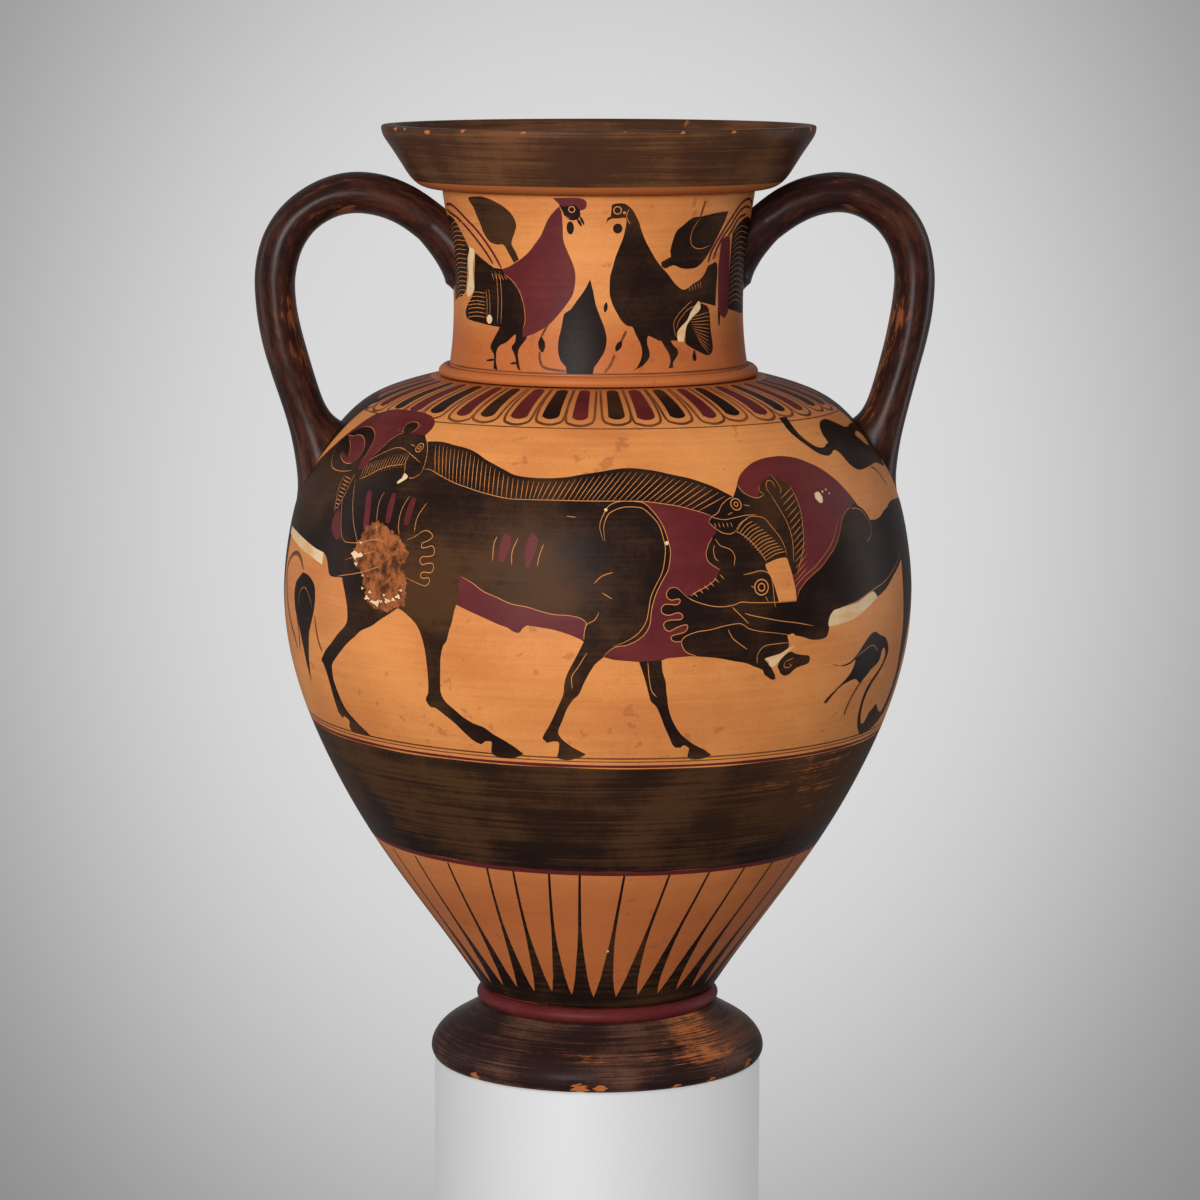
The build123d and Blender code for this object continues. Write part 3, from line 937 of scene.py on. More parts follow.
boar_lines = [back_line]
arc_outer = [
    (-2.1, 232.9), (-2.7, 237.9), (-2.4, 241.4), (-1.6, 245), (-0.9, 247.1), (0.7, 248.6), (2.9, 248.8),
]
arc_right = [
    (5.1, 248.2), (6.4, 246.1), (8, 241.4), (8.9, 237.1), (9.5, 232.1), (9.8, 227.9), (9.5, 222.9),
    (9.1, 220), (8, 215.7), (6.9, 210.7), (6.2, 205), (5.9, 199.3), (5.1, 195.7), (3.9, 193.2), (2, 191.1),
    (0.1, 190.4), (-1.2, 188.6), (-2, 186.4),
]
arc_inner = [
    (-1.8, 232.5), (-2, 237.9), (-1.6, 241.4), (-0.9, 243.9), (0.7, 245.7), (2.3, 246.4), (4.2, 246.2),
    (5.4, 245.4), (7, 241.8), (8, 238.6), (8.6, 233.6), (8.9, 229.3), (8.6, 223.6), (8.1, 219.3),
    (7, 214.6), (6.1, 210), (5.7, 205), (5.3, 200.7), (4.3, 196.8), (3.1, 194.3), (1.4, 192.1),
    (-0.5, 190.6),
]
boar_lines += [[*arc_outer, *arc_right], arc_inner]
stripe_top = [
    (-27.5, 216.8), (-25.3, 214.6), (-23.1, 211.4), (-20.6, 209.3), (-18.1, 207), (-15.2, 205.9),
    (-12.7, 204.3), (-10.5, 203.2), (-8, 202.9), (-6.1, 202), (-5.1, 200.4), (-5, 199.3), (-5.3, 196.4),
    (-5.4, 193.2),
]
boar_lines += [
    stripe_top,
    [(-2.8, 204.3), (-3.6, 201.1), (-4.9, 199.4), (-5.3, 196.4), (-5.4, 193.3)],
    [(-4.9, 188), (-6.3, 182.5), (-7.5, 178), (-7.4, 173)],
    [(5.6, 184), (5.9, 177), (6.4, 172), (7.3, 169.5)],
    [(-21.2, 233.6), (-21.7, 230), (-21.7, 223.6)],
    [(-17.3, 233.2), (-18.2, 227.9), (-18.2, 222.5)],
    [(-12.6, 231.1), (-13.3, 226.4), (-13.6, 222.1)],
    [(-8.8, 242.5), (-7, 242.1)],
    [(-3.7, 215.7), (-2.3, 218.6), (-0.4, 220.1)],
    [(-2.3, 212), (-0.6, 209.6)],
]
ear = [(13.2, 210), (14, 211.4), (15.5, 212.9), (17.1, 215), (18, 217.1)]
ear_left = [(18.7, 220), (17.4, 221.8), (16.5, 223.9), (16.3, 226.8), (16.8, 230), (17.7, 233.2)]
boar_lines += [
    ear,
    ear_left,
    [(18.2, 232.5), (19.1, 229.6), (20.9, 227.9), (21.7, 225), (21.4, 221.1)],
    [(18, 230), (17.7, 227.9), (17.9, 225), (18.5, 223.4)],
    [(22.3, 235), (23.4, 233.9), (25, 231.1), (26.2, 227.9), (27.2, 225), (28, 221.8)],
    [(25.2, 211.9), (24.5, 212.9)],
    [(27.3, 208.2), (27.8, 206.1)],
    [(23.1, 217.5), (24.7, 217.9), (26.6, 218.6), (28.1, 217.5), (28.8, 215), (29.1, 206.4), (29.3, 203.6)],
    [(11.4, 192.1), (11.6, 190), (12.4, 187.5), (14.3, 185.7)],
    [(32.2, 188.7), (29.1, 188.6), (27.2, 188.2), (26.1, 186.1), (25.7, 183.6), (25.9, 181.1)],
    [(31.7, 180.8), (31.5, 179), (32.3, 178.2), (33.1, 179), (32.6, 179.8)],
    [(31.7, 180.8), (33.4, 182.1)],
]
boar_lines += [[(13.6 + 1.0 * n, 211.4 + 1.35 * n), (14.4 + 1.0 * n, 209.7 + 1.3 * n)] for n in range(6)]
slant_at = (-38, -30, -22, -17, -12, -5, 1, 8, 14, 20)
slant_by = (2.8, 1.5, 0.4, 0, -1.5, -2.7, -4.5, -5.5, -6, -6)
crest_across, crest_level = np.array(crest).T
back_across, back_level = np.array(back_line).T
azimuth = -39.6
while azimuth < 21.6:
    low_end = azimuth + np.interp(azimuth, slant_at, slant_by)
    top = (azimuth, np.interp(azimuth, crest_across, crest_level) - 1.6)
    boar_lines.append([top, (low_end, np.interp(low_end, back_across, back_level))])
    azimuth += 1.05 if azimuth < -14 else 1.2

neck_edge = [
    (11.4, 192.1), (10.2, 192.1), (9.6, 193.2), (9.9, 194.6), (11.9, 195.7), (12.5, 197.5), (12.2, 198.7),
    (10.8, 197.9), (9.4, 196.4), (8.6, 197.1), (8.3, 199.3), (9.2, 200.7), (11.3, 200.9), (11.6, 202.5),
    (10.8, 203.6), (9.2, 202.7), (8.1, 203.6), (7.9, 205.4), (8.6, 207.1), (10.6, 206.8), (11.2, 208),
    (11, 209.1), (9.7, 208.7), (8.9, 210), (8.9, 211.8), (9.5, 213.4), (10.5, 213.6), (11.4, 212.1),
    (12.1, 210.4),
]
chest = [(-0.2, 185.4), (2.4, 184.8), (4.6, 184.4), (7.9, 184.8), (9, 185.6), (11.9, 186), (13.7, 186)]
muzzle = [(18.6, 235.2), (18, 237.5), (17.3, 239.5), (18, 241.2)]
boar_red = [
    shape(
        on_body, arc_right, chest, [(12.4, 187.5), (11.6, 190)], neck_edge, ear, ear_left, muzzle,
        back_line[:11:-1],
    ),
    shape(on_body, [(-28, 205.6), (-27.7, 216.6)], stripe_top, belly[1:], drip, belly_back),
    shape(
        on_body,
        [(-19.5, 235), (-18.5, 232.5), (-18.9, 227.9), (-19.6, 223.2)],
        [(-20.6, 223.6), (-20.6, 227.9), (-20.3, 232.9)],
    ),
    shape(
        on_body,
        [(-14.8, 235.7), (-13.7, 232.9), (-14.1, 227.9), (-15.1, 221.4)],
        [(-15.7, 221.8), (-15.9, 227.9), (-15.5, 232.9)],
    ),
]
for line in (
    [(-51.9, 248), (-50.6, 240), (-50, 232)],
    [(-44.9, 248.2), (-44.6, 235.7)],
    [(-39.7, 247.1), (-40.2, 235.7)],
):
    boar_red += stroke(on_body, line, 3.4, 0.7)
boar_lines += [
    [(-47.6, 248.2), (-48.1, 243.6), (-47.5, 235.7)],
    [(-40.9, 247.9), (-41.9, 242.1), (-41.9, 235.7), (-41.3, 231.4)],
    [(-36.5, 245.5), (-37.9, 239.3), (-38, 233)],
]
eye_rings = [*ring(on_body, (26.6, 212), 1.5, 0.5), *ring(on_body, (26.6, 212), 3.1, 0.5)]
tusk = [
    (27.3, 182.9), (28.1, 181.7), (28.3, 180), (29.2, 179.2), (30.3, 181.3), (31.7, 184.2), (33.2, 186.3),
    (33.6, 187.5),
]
white_marks = [
    shape(on_body, tusk, [(32.1, 186.3), (30.6, 184.6), (29, 183.8)]),
    dot(on_body, (-1.6, 245.2), 0.7),
    dot(on_body, (9.2, 231.4), 0.8),
]
bare_square = [
    (27.7, 221.1), (30, 222.7), (32.2, 223), (32.7, 220.7), (33.3, 215.7), (33.8, 209.3), (33.9, 205.4),
]
openings = [shape(on_body, bare_square, [(30, 205.6), (29.6, 209.3), (28.9, 214.3), (27.8, 219.3)])]
openings.append(shape(on_body, [(31.9, 191.6), (33, 192.2), (33.9, 190.4), (33.4, 187.8), (32.5, 188.3)]))

# ---------------------------------------------------------------- the lion at the right
# It bites the boar's crest and grips its cheek. Like the boar it is black slip first, then
# dull red on the mane and white on the belly, with its inner lines cut to the clay.
lion_head = [
    (17.3, 239.5), (18, 241.4), (19.3, 242.9), (20.1, 245.4), (20.9, 247.1), (22.1, 248.7), (23.1, 249.3),
]
mane_top = [
    (24.5, 254.3), (25, 256.4), (25.9, 258.9), (27.5, 261.4), (29.4, 263.6), (31.6, 265), (33.8, 265.7),
    (37.1, 265.9), (40, 265), (42.2, 263.6), (44.4, 261.4), (46.6, 258.9), (48.5, 255.7), (50.1, 252.5),
    (51.3, 249.3), (52.6, 245.7), (53.8, 241.8),
]
shoulder_lobe = [(54.2, 240.4), (55.7, 238.6), (57, 235.7), (57.5, 233.4)]
lion_back = [
    (58.1, 233.2), (59.8, 233), (62.3, 233.6), (64.9, 235.4), (67.4, 236.4), (69.9, 237.9), (72.4, 238.2),
    (78.1, 237.5), (82, 236.4), (87, 233), (90.5, 225), (90, 213),
]
hind_right = [(84, 200), (78.5, 190), (75.5, 180), (74.4, 170), (74, 160), (73, 152), (71, 146)]
hind_left = [
    (68, 147.5), (69.6, 152.5), (70.7, 158), (71.3, 165), (70.8, 172), (70.6, 180), (70.5, 186),
    (70.2, 192.1), (69.9, 199.3), (69.9, 206.4), (70.2, 213.6),
]
lion_belly = [(67.1, 210.7), (63.9, 207.9), (60.8, 204.6), (58.6, 202.9), (56.4, 201.4)]
elbow = [
    (42, 198.2), (41.5, 196.1), (41.6, 193.2), (41.4, 190.7), (40.8, 188.9), (39, 188.4), (37.1, 188.9),
    (35.6, 190.1), (34, 191.1),
]
foreleg = [(31.6, 192.1), (29.1, 193.2), (26.2, 194.3), (24, 195.7), (22.8, 197.5)]
right_lion = [
    shape(
        on_body, lion_head, mane_top, shoulder_lobe, lion_back, hind_right, hind_left, lion_belly, elbow,
        foreleg, [(20, 215), (17.3, 233)],
    )
]
mane_low = [
    (52, 240.4), (49.7, 238.6), (48.2, 236.1), (46.9, 232.1), (45.7, 228.2), (44.1, 224.3), (42.2, 221.1),
    (40, 217.5), (37.5, 214.6), (35.9, 212.1), (34.6, 209.3), (34.1, 206.1),
]
face_back = [(31.3, 249.3), (32.1, 245), (33.2, 239.3), (33.8, 235), (34.1, 230), (34, 225), (33.8, 221.4)]
ruff_edge = [(36.6, 252.2), (37.2, 246), (37.3, 240), (37, 234), (36.6, 228), (35.6, 222), (34.3, 216)]
mane_in = [(33.8, 209.3), (33.3, 215.7), (34.3, 216)]
mane_face = [(33, 257.5), (30, 254.5), (28.1, 248.2), (26.2, 249.6), (25.1, 251.8)]
lion_red = [shape(on_body, mane_top, mane_low, mane_in, ruff_edge[::-1], mane_face)]
lion_lines = [
    mane_low,
    [(x - 1.1, y + 0.9) for x, y in mane_low[2:]],
    face_back,
    ruff_edge,
    [(51.6, 239.3), (53.2, 239.3), (54.8, 238.2), (56, 236.1), (56.8, 232.9), (56.5, 228.6)],
    [(54.2, 240.4), (55.7, 238.6), (57, 235.7), (57.5, 232.9), (57.3, 229.3), (56, 226.1), (54.6, 225.1)],
    [(24.5, 254.3), (25.1, 251.8), (26.2, 249.6), (28.1, 248.2), (29.7, 249.3)],
    [(18, 241.4), (19, 240.6), (20.6, 240), (22.8, 240.7), (25, 241.3), (27.2, 241.2)],
    [(17.3, 239.5), (18, 237.5), (19, 235.7), (19.9, 234.6), (21.2, 234.1), (22.3, 235)],
    lion_head,
    [(24.8, 245.7), (26.2, 245)],
    [(22.3, 242.9), (21.2, 241.8)],
]
lion_lines += [[(18.4 + n * 0.8, 238.8), (18.6 + n * 0.8, 236.8)] for n in range(5)]
chin = [
    (22.3, 235), (23.4, 237.9), (24.7, 239.6), (25.9, 240.7), (27.5, 240.4), (28.8, 239.3), (30, 235.7),
    (31.3, 231.8), (32.1, 227.9), (32.5, 223.6),
]
lion_lines.append(chin)
for n in range(13):
    share = n / 12
    start = (22.6 + 5.2 * share, 235.2 - 12.6 * share)
    end = (25.2 + 7.1 * share**0.8, 240 - 14.5 * share)
    lion_lines.append([start, ((start[0] + end[0]) / 2, (start[1] + end[1]) / 2 + 0.8), end])
for n in range(14):
    share = n / 13
    lion_lines.append(
        [
            (36.9 + 0.4 * math.sin(3 * share), 251.5 - 33 * share),
            (33.3 + 0.9 * math.sin(2.6 * share), 247 - 34 * share),
        ]
    )
lion_lines += [
    [(31.3, 249.3), (30.8, 252.1), (31.4, 255), (32.5, 255), (32.9, 252.1)],
    [(32.9, 257.9), (33.6, 255), (34.1, 251.4), (33.6, 249.3)],
    [(29.2, 253.2), (29, 251.4), (29.9, 249.3)],
    [
        (12.1, 210.4), (13.6, 208.2), (16.2, 206.1), (18.7, 205.2), (20.9, 205.6), (22.5, 206.6),
        (24.3, 206.2), (27.5, 205.7), (33.8, 205.1),
    ],
]
claws = [
    *neck_edge[::-1], (11.7, 193.2), (12.4, 194.3), (14.3, 195.7), (16.5, 196.2), (19.3, 197.5),
    (21.8, 198.1),
]
lion_lines.append(
    [*claws, (22.8, 197.5), (24, 195.7), (26.2, 194.3), (29.1, 193.2), (31.6, 192.1), (33.8, 190.9)]
)
lion_lines += [
    [(23.1, 202.1), (24.3, 201.1), (27.5, 199.3), (30.6, 197.7), (33.8, 196.4), (37.6, 194.4)],
    [(20.7, 204.9), (22.1, 201.8), (23.9, 197.7)],
    [(19.9, 196.1), (20.9, 192.1), (23.7, 187.3)],
    [
        (71.5, 217.9), (68.6, 214.6), (64.9, 211.1), (59.8, 207.1), (54.2, 204.6), (49.7, 201.8),
        (46.6, 200.7), (42.8, 199.6),
    ],
]
eye_rings += [*ring(on_body, (23.3, 246.1), 0.9, 0.4), *ring(on_body, (23.3, 246.1), 2.4, 0.45)]
white_low = [
    (54.8, 200), (51.6, 197.1), (48.2, 194.6), (44.4, 193.6), (41.6, 193.2), (41.5, 196.1), (42, 198.2),
]
white_marks.append(
    shape(
        on_body,
        [(42.8, 199.6), (46.6, 200.5), (49.7, 201.4), (54.2, 204.3), (55.7, 203.2), (56.4, 201.4)],
        white_low,
    )
)
chips = [
    shape(on_body, [(42.2, 247.9), (43.4, 248.4), (44, 246.1), (43.6, 243.7), (42.7, 243.9), (42, 245.9)]),
    dot(on_body, (44.6, 248.2), 0.5),
    dot(on_body, (45.8, 248.9), 0.45),
    dot(on_body, (46.4, 247.1), 0.4),
]

# ---------------------------------------------------------------- the lion at the left
# It stands behind the boar and claws its haunch. The mane and the shoulder leaf are dull red,
# the belly white, and the inner lines are cut to the clay.
left_mane = [
    (-84, 250.4), (-82.1, 251.4), (-79.9, 253.6), (-78.3, 257.5), (-77.1, 261.4), (-75.5, 266.4),
    (-73.4, 270.7), (-72, 273.6), (-70.1, 277.9), (-67.5, 283.2), (-65.9, 284.4), (-61.7, 287.5),
    (-56.2, 288.4), (-50.3, 288.1), (-46.1, 286.3), (-43.6, 283.1), (-43.1, 279.4), (-43.8, 275.7),
]
face_front = [(-42.1, 272.1), (-40.9, 267.9), (-40.2, 262.9), (-40.1, 257.9)]
left_under = [
    (-54.8, 211), (-55.7, 211.1), (-57.9, 210.7), (-59.1, 211.4), (-59.9, 214.6), (-60.5, 217.1),
    (-62, 219.6), (-65.1, 220.4), (-69.8, 222.1), (-74.6, 223.6), (-79.9, 224.6), (-83, 222),
]
left_hind = [(-84.5, 205), (-86, 180), (-87, 158), (-83.5, 149), (-83.8, 145), (-90.5, 145), (-89.8, 175)]
left_rump = [(-91, 205), (-91.5, 225), (-90, 241), (-87, 248.5)]
left_lion = [
    shape(on_body, left_mane, face_front, [(-40, 230), (-46, 214)], left_under, left_hind, left_rump)
]
mane_face_line = [(-55.7, 263.6), (-53.8, 270.7), (-52.2, 274.3), (-50.6, 276.1)]
ear_outline = [
    (-50.6, 276.1), (-51.6, 277.1), (-51.6, 280.7), (-50, 282.1), (-48.1, 281.4), (-47.5, 278.6),
    (-48.7, 276.1),
]
spiral_outer = [
    (-68.3, 275), (-66.4, 276.1), (-63.8, 276.1), (-61.3, 274.6), (-59.6, 271.8), (-58.8, 267.9),
    (-58.6, 263.6), (-59.1, 260.7),
]
spiral_inner = [
    (-73, 270.4), (-69.5, 270.4), (-67.6, 271.4), (-65.1, 271.4), (-62.6, 269.6), (-61, 266.4),
    (-60.7, 262.9), (-61.5, 259.3),
]
leaf_top = [(-69.7, 268.2), (-67.6, 266.4), (-65.7, 263.2), (-64.8, 260.4)]
leaf_low = [(-69.7, 262.9), (-68.6, 260.4), (-66.4, 258.6), (-63.8, 258), (-62, 258.6)]
low_arc = [
    (-73.4, 264.3), (-73.3, 260.7), (-72, 257.5), (-69.8, 255), (-67, 254.1), (-63.8, 254.3),
    (-60.7, 255.4),
]
strip_top = [(-57.2, 260), (-54.1, 264.3), (-50.9, 267.9), (-48.7, 268.6), (-46.5, 267.5)]
strip_low = [(-56.6, 252.1), (-54.4, 254.3), (-52.2, 257.1), (-50, 259.3), (-47.8, 260.4), (-45.3, 261.4)]
left_lines = [
    mane_face_line, ear_outline, spiral_outer, spiral_inner, leaf_top, leaf_low, low_arc, strip_top,
    strip_low, [(-46.8, 281.8), (-47.8, 276.8)], [(-52.8, 279.3), (-53, 275.7)],
    [(-43.8, 275.7), *face_front], [(-40.1, 257.9), (-41.5, 255.7), (-42.7, 255.4)],
    [(-46.5, 267.5), (-41.5, 262.9)], [(-45.6, 263.6), (-44.3, 257.3)], [(-44.9, 270), (-46.5, 270.8)],
]
eye_rings += [*ring(on_body, (-43.5, 269.6), 2.1, 0.45), *ring(on_body, (-43.5, 269.6), 0.8, 0.4)]
for n in range(17):
    share = n / 16
    low_spot = (-56.4 + 11 * share, 252.6 + 9 * share - 1.5 * share**2)
    left_lines.append([(low_spot[0] - 0.6 + 0.6 * share, low_spot[1] + 7.2), low_spot])
tick_left = [(-62.3, 253.6), (-62.6, 249.3), (-62, 244.3), (-61.3, 239.3), (-60.9, 236.4)]
tick_right = [(-58.8, 255), (-59, 249.3), (-59.3, 244.3), (-60.5, 237.9)]
left_lines += [
    tick_left, tick_right, [(-57.7, 251.8), (-55.7, 242.1), (-54.1, 235), (-52.5, 229.3), (-51.6, 226.4)],
]
left_lines += [[(-62.2 + 0.1 * n, 252.5 - 1.7 * n), (-59.2 - 0.1 * n, 251.5 - 1.6 * n)] for n in range(9)]
left_lines += [
    [
        (-59.7, 243.6), (-58.8, 238.6), (-57.9, 233.6), (-56.9, 228.6), (-55.7, 226.1), (-54.1, 225.7),
        (-50.9, 226.4), (-48.4, 227.9), (-46.2, 228.6), (-44, 227.5),
    ],
    [(-56.3, 211.4), (-50, 214.3), (-44.6, 218.2)],
    [(-54.5, 218.5), (-46, 224.3)],
]
haunch_claws = [
    (-39.5, 229.6), (-37.9, 231.1), (-36.3, 233.6), (-35.2, 234.1), (-34.1, 232.9), (-34, 231.4),
    (-34.9, 230), (-35.9, 228.9), (-35.9, 227.1), (-34.8, 227.5), (-33.8, 228.2), (-33.2, 226.8),
    (-33.3, 224.6), (-34.4, 223.8), (-35.5, 223.6), (-36, 222.1), (-35.5, 220.4), (-34.3, 221.1),
    (-33.3, 221.1), (-33, 219.3), (-33.5, 217.5), (-34.9, 217.5), (-35.5, 216.8), (-35.5, 215.4),
    (-34.8, 215), (-34, 215.4), (-33.6, 214.3), (-34, 212.5), (-34.9, 212.1), (-37.3, 213.6), (-39.2, 215),
]
left_lines.append(haunch_claws)
left_red = [
    shape(
        on_body, left_mane, mane_face_line[::-1], [(-56.5, 258), (-58.4, 256), (-59.1, 260.7)],
        spiral_outer[::-1], [(-73, 270.4)],
    ),
    shape(on_body, spiral_inner, leaf_low[::-1], leaf_top[::-1]),
    shape(
        on_body,
        [(-59.7, 238.6), (-60.5, 236.1), (-60.9, 232.1), (-60.1, 228.6), (-58.2, 225.7)],
        [(-56.9, 226.8), (-57.7, 231.4), (-58.8, 236.4)],
    ),
]
left_red_holes = [shape(on_body, ear_outline)]
under_line = [(-62, 219.6), (-65.1, 220.4), (-69.8, 222.1), (-74.6, 223.6), (-79.9, 224.6), (-84, 225)]
white_marks.append(
    shape(
        on_body,
        under_line,
        [
            (-84, 221.8), (-79.9, 220.7), (-75.8, 219.6), (-71.4, 217.9), (-67.6, 217.1), (-63.8, 215.4),
            (-62, 214.6),
        ],
    )
)
tooth = [(-44.3, 257.5), (-43.1, 256.1), (-43.4, 254.6), (-44.8, 252.5), (-45.2, 253.2), (-44.4, 255)]
white_marks.append(shape(on_body, tooth))
haunch_worn = [
    (-52.5, 222.9), (-51.9, 218.6), (-49.7, 214.6), (-48.7, 210.7), (-47.8, 205.7), (-46.8, 202.1),
    (-43.4, 200), (-40.5, 202.1), (-38.6, 204.3), (-38.6, 213.6), (-39.9, 218.6), (-38.6, 223.6),
    (-40.2, 228.6), (-42.7, 232.1), (-46.8, 235.7), (-49.7, 233.6), (-50.6, 230),
]
flakes = [
    shape(
        on_body,
        [
            (-53, 221.5), (-52, 222.8), (-51, 221.9), (-50.2, 222.4), (-49.6, 221), (-51.2, 220.2),
            (-51.6, 219.2),
        ],
    )
]
cream_bits = [
    (-47.6, 204.6, 1.2), (-46.3, 203.4, 0.8), (-45.2, 203, 1.6), (-44.1, 203.9, 0.7), (-42.6, 204.4, 1.3),
    (-41.2, 205.2, 0.9), (-40.2, 206.6, 1.1), (-39.6, 209.3, 0.6), (-48.9, 208.2, 0.7), (-46.9, 207.1, 0.8),
    (-43.4, 206.6, 0.6), (-51.2, 217.6, 0.9), (-50.6, 226.4, 0.7), (-49.1, 213.3, 0.5),
]
for azimuth_here, height_here, size in cream_bits:
    angle = np.radians(np.arange(11) * 360 / 11)
    reach = size * (0.9 + 0.35 * np.sin(angle * 3 + azimuth_here) + 0.2 * np.sin(angle * 5 + height_here))
    spot = np.array((azimuth_here * on_body.flat, height_here))
    flakes.append(spot + np.stack([np.cos(angle) * reach * 1.25, np.sin(angle) * reach * 0.8], -1))
flakes.append(dot(on_body, (0.5, 37), 1.0, 0.7))

# ---------------------------------------------------------------- hanging buds
# Lotus buds fill the field under each handle, their stems and sepal lines in thin brown slip.
# A black tongue of slip runs down from the root of each handle.
bud_stem = [
    (-74.6, 175.7), (-76.1, 181.4), (-78.3, 187.1), (-80.2, 194.3), (-81.5, 200.7), (-82.1, 206.4),
    (-80.9, 210.7), (-78.6, 213.9), (-75.2, 215.9), (-72.3, 214.6), (-70.1, 210.7),
]
left_bud = [
    (-70.1, 209.3), (-67, 208.6), (-64.5, 205.7), (-63.8, 200.7), (-64.3, 195), (-65.4, 190), (-66.8, 185),
    (-67.6, 179.3), (-68.3, 175),
]
left_bud_low = [
    (-69.8, 163), (-70.5, 175), (-70.9, 179.3), (-71.7, 185), (-73, 190), (-73.9, 193.6), (-74.4, 199.3),
    (-73.6, 204.3),
]
buds = [shape(on_body, left_bud, left_bud_low)]
brown_strokes = stroke(on_body, bud_stem, 2.0, 0.5)
brown_strokes += stroke(on_body, [(-64, 192.9), (-63.2, 183.6), (-62, 178.2)], 1.3)
brown_strokes += stroke(on_body, [(-73.1, 192.1), (-72.3, 183.6), (-73, 175.7)], 1.3)
bud_lines = [
    [(-71.7, 192.9), (-71.4, 199.3), (-70.1, 202.5), (-68.3, 203.2), (-66.4, 200.4), (-64.9, 195.7)]
]
upper_bud = [
    (44.1, 285), (43.9, 278.6), (44.7, 274.3), (46.6, 269.6), (48.8, 265.4), (51, 263.6), (52.9, 263.7),
    (54.8, 265.4),
]
upper_bud_low = [
    (56, 265.4), (57, 262.9), (57.9, 258.6), (59.5, 255.7), (61.7, 254.6), (66.8, 255), (72.4, 255.4),
    (75.9, 253.6), (80, 252), (82, 255),
]
upper_bud_top = [
    (82, 274), (74.9, 275), (71.8, 274.4), (68.6, 274.6), (66.1, 276.8), (63.3, 279.6), (60.8, 280.7),
    (57.9, 279.6), (56, 277.1), (54.9, 273.6), (54.8, 269.3), (53.8, 268.9), (52, 267.5), (49.7, 268.2),
    (47.9, 271), (46.6, 275),
]
buds.append(shape(on_body, upper_bud, upper_bud_low, [*upper_bud_top, (46.3, 280), (46.9, 285)]))
openings.append(shape(on_body, [(71.2, 269.6), (74.9, 271), (78, 268), (76.5, 262.9), (73.4, 265.7)]))
brown_strokes += stroke(on_body, [(68, 254.6), (70.2, 252.1), (71.5, 248.6), (72.4, 245)], 1.4)
sepal = [
    (43.2, 177.2), (44.5, 176.2), (46.5, 175.9), (48.5, 176.9), (50.3, 179.5), (52.3, 183.5), (54.2, 186.6),
    (56, 187.2), (58, 185.3), (60.3, 183.6), (61.8, 180.8), (62.6, 177.5), (62.2, 174.5), (61, 171),
    (59.4, 167.8), (57.8, 165), (56.6, 161), (56.1, 156.5), (56.5, 151.5), (57.6, 147.5), (59.3, 144.8),
]
stalk = [
    (58.4, 143.2), (56.7, 146), (55.6, 150.5), (55.2, 155), (55.3, 159.5), (56, 163.5), (57.5, 166.8),
    (59.3, 169.8), (60.6, 172.5), (61.3, 175.5), (61, 178), (60.2, 179.3), (59.4, 178), (59.2, 175.5),
    (58.3, 173.2), (56, 170.8), (54, 168),
]
low_bud = [
    (52.9, 166), (51.8, 167.6), (50.6, 168.7), (48.5, 168), (46.5, 166.5), (44.8, 163.5), (43.4, 160.3),
]
low_bud_left = [
    (42.6, 160.6), (43.3, 162.5), (45.5, 166), (47.5, 169), (49.2, 172.5), (49.9, 177.2), (48.5, 176),
    (46.5, 175.3),
]
buds.append(shape(on_body, sepal, stalk, low_bud, low_bud_left))
root_plant = [
    (57, 145), (58.4, 145.9), (59.6, 147), (60.3, 150.6), (61.5, 152), (62.7, 153.8), (64, 152),
    (66, 149.3), (68, 148.4),
]
buds.append(shape(on_body, root_plant, [(71, 147), (68, 143.4), (63, 141), (59.5, 140.6)]))
bud_lines += [
    [(49.8, 178.2), (52, 180), (55, 181.8), (57, 179.9), (57.8, 178.3)],
    [(55.5, 170.6), (56.6, 171.6), (57.2, 173.4)],
]
brown_strokes += stroke(on_body, [(52.9, 166.4), (51.6, 163), (50.6, 159), (50.1, 155), (50.1, 152.8)], 1.3)
webs = []
for side in (-1, 1):
    edge = [
        (-76.5, 290), (-78.2, 279), (-80.5, 266), (-83, 253), (-86.2, 242), (-90, 237), (-94, 242),
        (-98, 256), (-102, 276), (-103, 289),
    ]
    webs.append(shape(on_body, [(side * x, y) for x, y in edge], [(side * -96, 294), (side * -84, 294)]))

# ---------------------------------------------------------------- coats on the body
# Brown, black, dull red and white, each a thin coat over the last. The far side was painted to
# the same plan, so its figures repeat the front's. A lift is how far a coat's face stands off the
# clay, in millimetres, and upper_bed is where the lower face of the later coats lies.
brown_lift = 0.03
black_lift = 0.045
red_lift = 0.07
patch_lift = 0.08
white_lift = 0.09
flake_lift = 0.11
upper_bed = 0.02
cut_width = 0.3
thin_brown = paint_finish("thin_brown", (0.1, 0.031, 0.011), (0.22, 0.068, 0.021), 0.4, 0.9, 0.1)
white = paint_finish("added_white", (0.66, 0.5, 0.3), (0.6, 0.28, 0.09), 0.62, 0.8, 0.3)
black = black_finish(
    "painted_black", dark=(0.0115, 0.0058, 0.0048), thin_colour=(0.06, 0.026, 0.011), thin_share=0.75,
)
worn_haunch, haunch_shader, place = finish("worn_haunch", Roughness=0.6, Specular_IOR_Level=0.06)
rub = (place.noise(4.5, detail=5.0, roughness=0.7) * 0.7 + place.noise(11) * 0.3).rise(0.38, 0.6)
crust = (place.noise(2.6, detail=4.0, roughness=0.7) + place.noise(8) * 0.5).rise(0.9, 0.95)
skin_colour = rub.mix((0.05, 0.016, 0.008), (0.31, 0.092, 0.027))
feed(
    worn_haunch.node_tree,
    haunch_shader.inputs["Base Color"],
    (crust * 0.5).mix(skin_colour, (0.6, 0.36, 0.16)),
)
